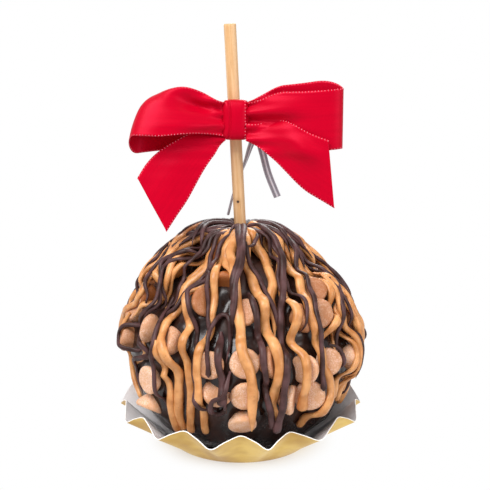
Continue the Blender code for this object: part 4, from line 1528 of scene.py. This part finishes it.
@dataclass(frozen=True)
class Ribbon:
    """The satin ribbon that the bow is tied from, and the knot that gathers it."""
    width: float = 22.5 * MM
    thickness: float = 0.3 * MM
    knot: Vector = Vector((-1.8, -9.6, 132.4)) * MM
    knot_size: Vector = Vector((10.4, 7.0, 15.6)) * MM
    root_width: float = 13.0 * MM
    tail_gather: float = 34.0 * MM
    turn_length: float = 13.0 * MM
    pleat_depth: float = 1.0 * MM
    pleat_pitch: float = 5.0 * MM
    pleat_reach: float = 8.0 * MM
    layer_step: float = 1.5 * MM
    loop_arch: float = math.radians(153)
    overlap: float = 1.2 * MM  # how far the ribbon runs into the knot

    def half_width(self, distance: float, gather: float) -> float:
        """Half the ribbon's width at a distance from the knot, where it is gathered."""
        spread = smoothstep(distance / gather)
        return (self.root_width + (self.width - self.root_width) * spread) / 2

    def pleat(self, distance: float, height: float) -> float:
        """Push of the gathered ribbon's pleats towards the back."""
        fade = math.exp(-max(distance, 0.0) / self.pleat_reach)
        return self.pleat_depth * fade * math.cos(2 * math.pi * height / self.pleat_pitch)


@dataclass(frozen=True)
class Fold:
    """A soft fold that runs outward from the knot.

    Its line starts at `root` above the knot's middle and climbs by `slope`. It pushes the cloth
    forward by `depth` within `width` of the line, and most at `at` from the knot. Its lengths
    are in mm.
    """
    root: float
    slope: float
    depth: float
    width: float
    at: float
    length: float

    def push(self, distance: float, height: float) -> float:
        """Return how far the fold moves the cloth to the front there."""
        line = self.root * MM + self.slope * distance
        across = math.exp(-((height - line) / (self.width * MM)) ** 2)
        along = math.exp(-((distance - self.at * MM) / (self.length * MM)) ** 2)
        return self.depth * MM * across * along


@dataclass(frozen=True)
class Loop:
    """A loop that leaves the knot in front and comes back behind it."""
    side: Side
    reach: float  # to its outer end
    bulge: float  # how far its two layers part
    rise: float  # height of its arch
    drop: float  # how far it sinks from the share `drop_from` on
    drop_from: float
    lift: float  # how much its outer end climbs
    gather: float  # length to its full width
    flat_length: float
    curl: float = 0.0  # how far its upper edge rolls over
    tilt: float = 0.0  # lean of its outer end to the back
    slant: float = 0.0  # and to the middle
    belly: float = 0.0  # how far its outer end bows out
    swing: float = 0.0  # how far its outer end comes to the front
    drop_over: float = 0.28  # share of the way
    drop_power: float = 0.6  # below 1, it sinks soon beyond the knot
    fullness: float = 0.85  # below 1, it is blunt at its outer end
    front_folds: tuple[Fold, ...] = ()
    fold_fade: float = 2.2  # how soon its folds end

    def surface(self, ribbon: Ribbon) -> Surface:
        """Lay out the middle surface.

        Args:
            ribbon: The ribbon that it is made of.

        Returns:
            Its points, as a function of shares along and across the ribbon.
        """
        root = ribbon.knot_size.x / 2 - ribbon.overlap
        upright = Vector((-self.side * self.slant, self.tilt, 1.0)).normalized()

        def place(u: float, v: float) -> Vector:
            """Point at share `u` along, 0 to 1, and `v` across, -1 to 1."""
            turn = math.pi * u
            outward = max(math.sin(turn), 0.0) ** self.fullness
            distance = (self.reach - root) * outward
            layer = -math.cos(turn) * ribbon.layer_step - math.sin(2 * turn) * self.bulge
            height = self.rise * math.sin(ribbon.loop_arch * outward) + self.lift * outward ** 3
            sunk = smoothstep((u - self.drop_from) / self.drop_over)
            height -= self.drop * sunk * outward ** self.drop_power
            bowed = self.belly * outward ** 4 * (1 - v * v)
            middle = Vector((self.side * (root + distance + bowed), layer - self.swing * outward,
                             height))
            direction = Vector((0, 0, 1)).lerp(upright, smoothstep(distance / ribbon.turn_length))
            point = middle + direction * ribbon.half_width(distance, self.gather) * v
            point.y += ribbon.pleat(distance, point.z)
            curled = self.curl * outward ** 4 * max(v, 0.0) ** 2
            point += Vector((0, curled * 0.5, -curled))
            in_front = smoothstep(1 - u * self.fold_fade)
            for fold in self.front_folds:
                point.y -= fold.push(distance, point.z) * in_front
            return ribbon.knot + point
        return place


@dataclass(frozen=True)
class Tail:
    """A tail that spreads from the knot to a slanted end."""
    side: Side
    root: float  # its height at the knot
    end: Triple  # from the knot's middle
    cut: float  # how much longer its lower edge is
    lean: float  # lean of its outer edge to the back
    bend: float  # how far its middle bows outward
    front: float  # how far in front it begins
    throat: float  # share of its width at the knot
    hump: float  # how far its upper edge bulges
    hump_at: float = 13.0 * MM
    hump_width: float = 8.0 * MM
    fold_start: float = 6.0 * MM  # length over which its folds begin
    folds: tuple[Fold, ...] = ()

    def start(self, ribbon: Ribbon) -> Vector:
        """Return the middle of the tail's root, from the knot's middle."""
        across = self.side * (ribbon.knot_size.x / 2 - ribbon.overlap)
        return Vector((across, -self.front, self.root))

    def surface(self, ribbon: Ribbon) -> Surface:
        """Lay out the middle surface.

        Args:
            ribbon: The ribbon that it is made of.

        Returns:
            Its points, as a function of shares along and across the ribbon.
        """
        start = self.start(ribbon)
        run = Vector(self.end) - start
        way = run.normalized()
        outer = Vector((-way.z, 0, way.x)) * self.side
        width_way = (outer + Vector((0, self.lean, 0))).normalized()

        def place(u: float, v: float) -> Vector:
            """Point at share `u` along, 0 to 1, and `v` across, -1 to 1."""
            distance = u * (run.length - self.cut / 2 * v)
            spread = smoothstep(distance / ribbon.tail_gather)
            middle = start + way * distance + outer * self.bend * math.sin(math.pi * u)
            direction = Vector((0, 0, 1)).lerp(width_way, smoothstep(distance / ribbon.turn_length))
            narrow = self.throat + (1 - self.throat) * spread
            half = ribbon.half_width(distance, ribbon.tail_gather) * narrow
            point = middle + direction.normalized() * half * v
            bulge = math.exp(-((distance - self.hump_at) / self.hump_width) ** 2)
            point.z += self.hump * bulge * max(v, 0.0)
            point.y += ribbon.pleat(distance, point.z)
            for fold in self.folds:
                begun = smoothstep(distance / self.fold_start)
                point.y -= fold.push(distance, half * v) * begun
            return ribbon.knot + point
        return place


LEFT_LOOP = Loop(
    Side.LEFT, reach=37.0 * MM, bulge=5.5 * MM, rise=3.0 * MM, drop=7.5 * MM,
    drop_from=0.36, lift=2.7 * MM, gather=23.0 * MM, flat_length=70.0 * MM,
    curl=5.8 * MM, tilt=0.35, slant=0.42, belly=1.5 * MM,
    front_folds=(
        Fold(2.0, 0.30, -4.8, 2.6, 14.0, 8.5),
        Fold(-2.5, 0.10, 1.4, 3.2, 12.0, 11.0),
        Fold(5.5, 0.15, 1.2, 2.2, 9.0, 8.0),
        Fold(2.8, 0.50, -0.9, 0.8, 2.5, 4.5),
        Fold(-2.2, -0.25, -0.8, 0.7, 2.5, 4.5)))
RIGHT_LOOP = Loop(
    Side.RIGHT, reach=40.6 * MM, bulge=4.0 * MM, rise=-0.8 * MM, drop=-4.6 * MM,
    drop_from=0.48, lift=0.9 * MM, gather=15.0 * MM, flat_length=78.0 * MM, swing=8.0 * MM,
    front_folds=(
        Fold(3.5, 0.05, 1.8, 3.0, 10.0, 12.0),
        Fold(-0.5, -0.02, -1.8, 2.2, 10.0, 10.0),
        Fold(5.0, 0.30, -0.7, 0.8, 2.5, 4.5)))
LEFT_TAIL = Tail(
    Side.LEFT, root=-3.0 * MM, end=(-32.4 * MM, -6.5 * MM, -32.5 * MM), cut=7.0 * MM, lean=0.10,
    bend=2.8 * MM, front=0.0, throat=0.75, hump=0.0,
    folds=(Fold(0.0, 0.0, 0.8, 6.0, 25.0, 15.0),))
RIGHT_TAIL = Tail(
    Side.RIGHT, root=-4.9 * MM, end=(36.0 * MM, -14.0 * MM, -20.0 * MM), cut=14.0 * MM,
    lean=-0.15, bend=1.2 * MM, front=3.0 * MM, throat=0.48, hump=4.4 * MM,
    folds=(
        Fold(1.5, 0.30, -3.2, 1.7, 9.0, 6.0),
        Fold(6.0, 0.25, 1.6, 2.0, 9.0, 7.0),
        Fold(0.0, 0.10, 2.4, 3.6, 22.0, 8.0)))


@dataclass
class Bow:
    """Two loops, two tails and the knot of one ribbon, with the stitches of its edges."""
    ribbon: Ribbon
    satin: SatinFinish
    thread: StitchFinish
    loop_steps: tuple[int, int] = (120, 24)
    tail_steps: tuple[int, int] = (64, 24)
    stitch_pitch: float = 1.2 * MM
    stitch_size: Triple = (0.34 * MM, 0.2 * MM, 0.23 * MM)
    stitch_inset: float = 0.3 * MM
    knot_steps: tuple[int, int] = (240, 60)
    knot_pole: float = 0.05  # polar angle of its first ring, in radians
    knot_corner: float = 6.0  # powers of its boxy outline
    knot_round: float = 2.5  # and of its rounded front
    selvedge_reach: float = 0.88  # share of its half height
    selvedge_points: int = 24
    lap: float = 0.45 * MM  # step of the knot's front band
    lap_sides: Pair = (-1.8 * MM, 3.9 * MM)
    lap_bow: float = 0.7 * MM  # how far its left side bends out
    lap_edge: float = 0.35 * MM  # width of the step
    lap_margin: float = 0.4 * MM  # from the stitches to the step
    groove: Triple = (0.35 * MM, 0.3 * MM, 0.4 * MM)  # depth, place, width

    def build(self) -> None:
        """Make every part of the bow."""
        for loop, name in ((LEFT_LOOP, "left"), (RIGHT_LOOP, "right")):
            cloth, edge = self.strip(f"loop_{name}", loop.surface(self.ribbon), self.loop_steps)
        for tail, name in ((LEFT_TAIL, "left"), (RIGHT_TAIL, "right")):
            cloth, edge = self.strip(f"tail_{name}", tail.surface(self.ribbon), self.tail_steps)
            length = (Vector(tail.end) - tail.start(self.ribbon)).length
            self.ribbon.width * length
        self.knot()

    def strip(self, name: str, place: Surface, steps: tuple[int, int]) -> tuple[Piece, Piece]:
        """Make a strip of ribbon and the stitches along its two edges.

        Args:
            name: The end of the pieces' names.
            place: The strip's middle surface.
            steps: Steps along and across.

        Returns:
            The cloth and its stitches.
        """
        along, across = steps
        shares = [(k / along, 2 * j / across - 1) for k in range(along + 1)
                  for j in range(across + 1)]
        points = np.array([place(u, v) for u, v in shares])
        faces = [(k * (across + 1) + j, k * (across + 1) + j + 1,
                  (k + 1) * (across + 1) + j + 1, (k + 1) * (across + 1) + j)
                 for k in range(along) for j in range(across)]
        cloth = new_object(f"ribbon_{name}", points, faces)
        grid = points.reshape(along + 1, across + 1, 3)
        length = run_length(grid[:, across // 2])
        store_uv(cloth, [(reach, (column / across - 0.5) * self.ribbon.width)
                         for reach in length for column in range(across + 1)])
        cloth.data.materials.append(self.satin.material())
        wall = cloth.modifiers.new("thickness", "SOLIDIFY")
        wall.thickness = self.ribbon.thickness
        wall.offset = 0.0
        bake_modifiers(cloth)
        hand_over(cloth, f"bow_{name}")
        edges = [(grid[:, column], grid[:, column] - grid[:, inner])
                 for column, inner in ((0, 1), (across, across - 1))]
        return cloth, self.stitches(f"stitches_{name}", edges, f"bow_{name}")

    def stitches(self, name: str, edges: Sequence[tuple[Array, Array]], node: str) -> Piece:
        """Lay small stitches along ribbon edges with a geometry tree.

        Args:
            name: The piece's name.
            edges: For each edge its points, and the ways that point off the cloth there.
            node: The CAD node of the strip.

        Returns:
            The piece.
        """
        points, lines, ways = [], [], []
        for edge, way in edges:
            first = len(points)
            unit = way / np.linalg.norm(way, axis=1)[:, None]
            points.extend(edge - unit * self.stitch_inset)
            ways.extend(unit)
            lines.extend((first + k, first + k + 1) for k in range(len(edge) - 1))
        placed = new_object(name, points, (), lines)
        set_attribute(placed, "way", np.array(ways))
        forge = GeometryForge("lay_stitches")
        pitch, size = forge.dial("Pitch"), forge.dial("Size", "NodeSocketVector")
        line = forge.add("GeometryNodeMeshToCurve", None, {"Mesh": forge.geometry})
        spaced = forge.add("GeometryNodeResampleCurve", {"mode": "LENGTH"},
                           {"Curve": line, "Length": pitch})
        thread = forge.add("GeometryNodeMeshIcoSphere", None, {"Radius": 1.0, "Subdivisions": 2})
        tangent = forge.add("GeometryNodeInputTangent")
        turn = forge.add("FunctionNodeAxesToRotation",
                         {"primary_axis": "X", "secondary_axis": "Y"},
                         {"Primary Axis": forge.attribute("way"), "Secondary Axis": tangent})
        copies = forge.add("GeometryNodeInstanceOnPoints", None, {
            "Points": spaced, "Instance": thread, "Rotation": turn, "Scale": size})
        forge.run(copies, self.thread.material(), placed,
                  {"Pitch": self.stitch_pitch, "Size": self.stitch_size})
        hand_over(placed, node)
        return placed

    def knot(self) -> None:
        """Make the folded band round the middle of the bow, and the stitches of its edge."""
        half = self.ribbon.knot_size.z / 2
        around, down = self.knot_steps
        rings = []
        for polar in np.linspace(self.knot_pole, math.pi - self.knot_pole, down):
            ring = []
            for step in range(around):
                turn = 2 * math.pi * step / around
                way = Vector((math.sin(polar) * math.sin(turn), -math.sin(polar) * math.cos(turn),
                              math.cos(polar)))
                ring.append(self.knot_point(way))
            rings.append(np.array(ring))
        top, bottom = (self.ribbon.knot + Vector((0, 0, end)) for end in (half, -half))
        placed = closed_rings("ribbon_knot", rings, top, bottom, self.satin)
        skin = [vert.co - self.ribbon.knot for vert in placed.data.vertices]
        store_uv(placed, [(point.z, point.x) for point in skin])
        shares = np.linspace(-self.selvedge_reach, self.selvedge_reach, self.selvedge_points)
        selvedge = np.array([self.knot_front(self.lap_sides[1], share * half) for share in shares])
        ways = np.tile((1.0, 0.0, 0.0), (len(selvedge), 1))
        self.stitches("stitches_knot", [(selvedge, ways)], "bow_knot")
        hand_over(placed, "bow_knot")

    def knot_outline(self, across: float, up: float) -> float:
        """Return how near a place is to the knot's outline, 0 in its middle and 1 on it."""
        spread = abs(across) ** self.knot_corner + abs(up) ** self.knot_corner
        return spread ** (self.knot_round / self.knot_corner)

    def knot_point(self, way: Vector) -> Vector:
        """Return the point of the knot's skin in one direction from its middle."""
        size = self.ribbon.knot_size
        rim = self.knot_outline(way.x, way.z)
        boxed = way / (rim + abs(way.y) ** self.knot_round) ** (1 / self.knot_round)
        point = Vector((boxed.x * size.x, boxed.y * size.y, boxed.z * size.z)) / 2
        if way.y < 0:
            point.y -= self.front_band(point)
        return self.ribbon.knot + point

    def knot_front(self, across: float, up: float) -> Vector:
        """Return the point of the knot's front at a distance right of and above its middle."""
        size = self.ribbon.knot_size
        rim = self.knot_outline(2 * across / size.x, 2 * up / size.z)
        depth = max(1 - rim, 0.0) ** (1 / self.knot_round) * size.y / 2
        point = Vector((across, -depth, up))
        return self.ribbon.knot + point - Vector((0, self.front_band(point), 0))

    def front_band(self, point: Vector) -> float:
        """Return how far the knot's front band stands out at a point of its skin."""
        (left, right), (depth, place, width) = self.lap_sides, self.groove
        from_left = point.x - left + self.lap_bow * (2 * point.z / self.ribbon.knot_size.z) ** 2
        inside = smoothstep(from_left / self.lap_edge)
        inside *= smoothstep((right + self.lap_margin - point.x) / self.lap_edge)
        return self.lap * inside - depth * math.exp(-((from_left + place) / width) ** 2)


# Twist tie ----

@dataclass
class TwistTie:
    """Flat band with a wire in its middle, which passes behind the stick."""
    finish: TieFinish
    width: float = 3.0 * MM
    thickness: float = 0.35 * MM
    wire: float = 0.55 * MM  # half the thickness over the wire
    wire_share: float = 0.28  # of the band's half width
    sharp_from: float = math.radians(50)
    spans: int = 14
    across: int = 16
    middles: tuple[Triple, ...] = (
        (-5.2, 3.6, 93.6), (-2.4, 4.0, 104.0), (1.8, 3.4, 115.0), (4.6, 2.4, 123.0),
        (6.8, 2.0, 125.0), (8.8, 2.4, 119.6), (11.3, 3.0, 110.4), (15.1, 3.4, 101.0))
    ways: tuple[Triple, ...] = (
        (0.1, 1.0, 0.0), (0.1, 1.0, 0.0), (0.4, 0.9, 0.0), (0.8, 0.6, 0.0),
        (0.7, 0.3, -0.6), (0.9, 0.3, 0.25), (0.9, 0.2, 0.35), (0.9, 0.1, 0.35))

    def build(self) -> None:
        """Make the band."""
        line = spline_points(np.array(self.middles) * MM, self.spans)
        wide = spline_points(np.array(self.ways), self.spans)
        wide /= np.linalg.norm(wide, axis=1)[:, None]
        along = np.gradient(line, axis=0)
        face = np.cross(along, wide)
        face /= np.linalg.norm(face, axis=1)[:, None]
        shares = np.linspace(-1, 1, self.across)
        half = self.thickness / 2 + (self.wire - self.thickness / 2) \
            * np.exp(-(shares / self.wire_share) ** 2)
        ring_across = np.concatenate([shares, shares[::-1]])
        ring_height = np.concatenate([half, -half[::-1]])
        rings = [middle + way * self.width / 2 * ring_across[:, None] + up * ring_height[:, None]
                 for middle, way, up in zip(line, wide, face)]
        placed = closed_rings("twist_tie_band", rings, line[0], line[-1], self.finish)
        places = [(ring / self.spans, side) for ring in range(len(rings)) for side in ring_across]
        store_uv(placed, places + [(len(rings) / self.spans, 0)] * 2)
        placed.data.set_sharp_from_angle(angle=self.sharp_from)
        hand_over(placed, "twist_tie")


# Paper cup ----

@dataclass
class PaperCup:
    """Flat floor and a flared wall with flutes that deepen towards the rim."""
    outside: FoilFinish
    inside: BoardFinish
    cut_edge: BoardFinish
    wall: float = 0.36 * MM
    floor_radius: float = 29.0 * MM
    rim_radius: float = 49.5 * MM
    rim_height: float = 16.4 * MM
    flutes: int = 14
    flute_depth: float = 2.2 * MM
    flute_start: float = 1.3  # above 1, the flutes begin softly
    flute_lean: float = 0.5  # lean of the crests, as a share of depth
    flute_phase: float = math.radians(0.5)
    fullness: float = 0.09  # share by which the crests are broader
    crease: float = 0.08  # share by which crests and troughs are creased
    crowding: float = math.radians(4.0)  # how far some flutes close up
    crowd_azimuth: float = math.radians(26.0)
    crowd_width: float = math.radians(15.0)
    steps_per_flute: int = 24
    wall_rings: int = 20
    floor_rings: Pair = (0.34, 0.67)  # shares of the floor's radius
    sharp_from: float = math.radians(60)

    def wall_point(self, azimuth: float, share: float) -> Vector:
        """Point of the cup's outer face.

        Args:
            azimuth: Azimuth in radians.
            share: 0 at the floor's edge, 1 at the rim.

        Returns:
            The point.
        """
        radius = self.floor_radius + (self.rim_radius - self.floor_radius) * share
        crowd = math.exp(-((azimuth - self.crowd_azimuth) / self.crowd_width) ** 2)
        turn = self.flutes * (azimuth - self.flute_phase + self.crowding * crowd)
        wave = math.cos(turn) + self.fullness * (1 - math.cos(2 * turn))
        wave += self.crease * math.cos(3 * turn)
        height = self.rim_height * share + self.flute_depth * wave * share ** self.flute_start
        radius -= self.flute_depth * wave * share * self.flute_lean
        return Vector((radius * math.sin(azimuth), -radius * math.cos(azimuth), height))

    def build(self) -> None:
        """Make the cup."""
        sides = self.flutes * self.steps_per_flute
        angles = [2 * math.pi * k / sides for k in range(sides)]
        rings = [[Vector((radius * math.sin(a), -radius * math.cos(a), 0)) for a in angles]
                 for radius in (self.floor_radius * share for share in self.floor_rings)]
        rings += [[self.wall_point(a, ring / self.wall_rings) for a in angles]
                  for ring in range(self.wall_rings + 1)]
        points = [point for ring in rings for point in ring] + [Vector((0, 0, 0))]
        faces = ring_faces(len(rings), sides)
        faces += [((k + 1) % sides, k, len(points) - 1) for k in range(sides)]
        placed = new_object("cup_paper", points, faces)
        for finish in (self.outside, self.inside, self.cut_edge):
            placed.data.materials.append(finish.material())
        board = placed.modifiers.new("board", "SOLIDIFY")
        board.thickness = self.wall
        board.offset = -1.0
        board.material_offset = 1
        board.material_offset_rim = 2
        bake_modifiers(placed)
        placed.data.set_sharp_from_angle(angle=self.sharp_from)
        hand_over(placed, "paper_cup")


# Studio ----

@dataclass(frozen=True)
class Lamp:
    """A soft square light: where it stands, what it looks at, its side and its power."""
    name: str
    place: Triple
    target: Triple
    side: float
    power: float
    colour: str = "ffffff"


@dataclass
class Studio:
    """Floor, world, lights and camera."""
    camera_place: Triple = (1.8 * MM, -330.0 * MM, 135.0 * MM)
    pitch: float = math.radians(9.2)
    lens: float = 59.88
    floor_radius: float = 1.6
    floor_sides: int = 96
    floor_fade: Pair = (0.014, 0.042)  # how far out it turns to plain light
    lamps: tuple[Lamp, ...] = (
        Lamp("key", (-0.35, -0.45, 0.75), (0.0, 0.0, 0.06), 0.6, 10.0),
        Lamp("fill", (0.6, -0.5, 0.35), (0.0, 0.0, 0.07), 0.5, 3.0),
        Lamp("back", (0.1, 0.6, 0.6), (0.0, 0.0, 0.09), 0.5, 5.0),
    )
    ambient: float = 0.46

    def build(self) -> None:
        """Make the whole studio."""
        self.floor()
        self.world()
        for lamp in self.lamps:
            self.light(lamp)
        self.camera()
        bpy.context.scene.view_settings.view_transform = "Standard"

    def floor(self) -> None:
        """Lay a white floor that turns to plain light away from the object."""
        rim = level_ring(self.floor_radius, 0.0, even_turns(self.floor_sides))
        placed = new_object("studio_floor", rim, [tuple(range(self.floor_sides))])
        forge = ShaderForge("studio_white")
        white = forge.noise(30.0, 2.0)
        forge.principled({"Base Color": forge.blend(white, "f4f4f4", "fbfbfb"), "Roughness": 0.6})
        away = forge.add("ShaderNodeVectorMath", {"operation": "LENGTH"}, {0: forge.place}, "Value")
        glow = forge.add("ShaderNodeEmission", None, {"Color": tone("ffffff"), "Strength": 1.0})
        mixed = forge.add("ShaderNodeMixShader", None, {
            0: away.band(*self.floor_fade), 1: Signal(forge, forge.shader.outputs[0]), 2: glow})
        forge.feed(forge.tree.nodes["Material Output"].inputs["Surface"], mixed)
        placed.data.materials.append(forge.material)

    def world(self) -> None:
        """Light everything softly, and show plain white behind the object."""
        world = bpy.data.worlds.new("studio_world")
        world.use_nodes = True
        bpy.context.scene.world = world
        forge = NodeForge(world.node_tree)
        output = world.node_tree.nodes["World Output"]
        seen = forge.add("ShaderNodeLightPath", output="Is Camera Ray")
        soft = forge.add("ShaderNodeBackground", None,
                         {"Color": tone("f2f4f8"), "Strength": self.ambient})
        plain = forge.add("ShaderNodeBackground", None, {"Color": tone("ffffff"), "Strength": 1.0})
        mixed = forge.add("ShaderNodeMixShader", None, {0: seen, 1: soft, 2: plain})
        forge.feed(output.inputs["Surface"], mixed)

    def light(self, lamp: Lamp) -> None:
        """Stand one light and turn it to its target.

        Args:
            lamp: The light.
        """
        data = bpy.data.lights.new(lamp.name, "AREA")
        data.size = lamp.side
        data.energy = lamp.power
        data.color = tone(lamp.colour)[:3]
        placed = bpy.data.objects.new(lamp.name, data)
        placed.location = lamp.place
        look = Vector(lamp.target) - Vector(lamp.place)
        placed.rotation_euler = look.to_track_quat("-Z", "Y").to_euler()
        bpy.context.scene.collection.objects.link(placed)

    def camera(self) -> None:
        """Stand the camera where the photograph was taken."""
        data = bpy.data.cameras.new("camera")
        data.lens = self.lens
        data.sensor_width = 36.0
        data.clip_start = 0.01
        placed = bpy.data.objects.new("camera", data)
        placed.location = self.camera_place
        placed.rotation_euler = (math.pi / 2 - self.pitch, 0.0, 0.0)
        bpy.context.scene.collection.objects.link(placed)
        bpy.context.scene.camera = placed


def main() -> None:
    """Build the whole part in order."""
    logging.basicConfig(level=logging.INFO, format="%(message)s", stream=sys.stdout)
    Studio().build()
    surface = CoatSurface()
    blanket = Blanket(surface)
    chips = BakingChips(blanket, ChipFinish("baking_chip"))
    chips.build()
    DippedApple(surface, chips.places(), CoatFinish("dark_coat")).build()
    strands = (*CrownFan(count=26, width=3.4, seed=5).strands(), *FRONT_CARAMEL,
               *RuledStrands(count=19, width=3.6, seed=23).strands())
    Drizzle("caramel_strands", blanket, strands, DrizzleFinish("caramel"), seed=11).build()
    strands = (*CrownFan(count=34, width=2.1, seed=9, ends=(32.0, 46.0)).strands(),
               *FRONT_CHOCOLATE, *RuledStrands(count=27, width=2.0, seed=31).strands())
    # Its deep and light colours are painted shade and painted highlight on the bumped lumps, as for
    # caramel.
    chocolate = DrizzleFinish("chocolate", deep="301c18", light="573a3a", dots="2a1815",
                              dot_share=0.0, roughness=0.3, gloss=0.0, softness=0.0, shine=0.24)
    Drizzle("chocolate_strands", blanket, strands, chocolate, seed=12,
            crown_height=1.8 * MM, soft_height=6.8 * MM).build()
    Dowel().build()
    Bow(Ribbon(), SatinFinish("crimson_satin"), StitchFinish("edge_thread")).build()
    TwistTie(TieFinish("coated_tie")).build()
    PaperCup(FoilFinish("gold_foil"), BoardFinish("grey_board"),
             BoardFinish("white_board", "fbf8f2", "efeae2")).build()


if __name__ == "__main__":
    main()
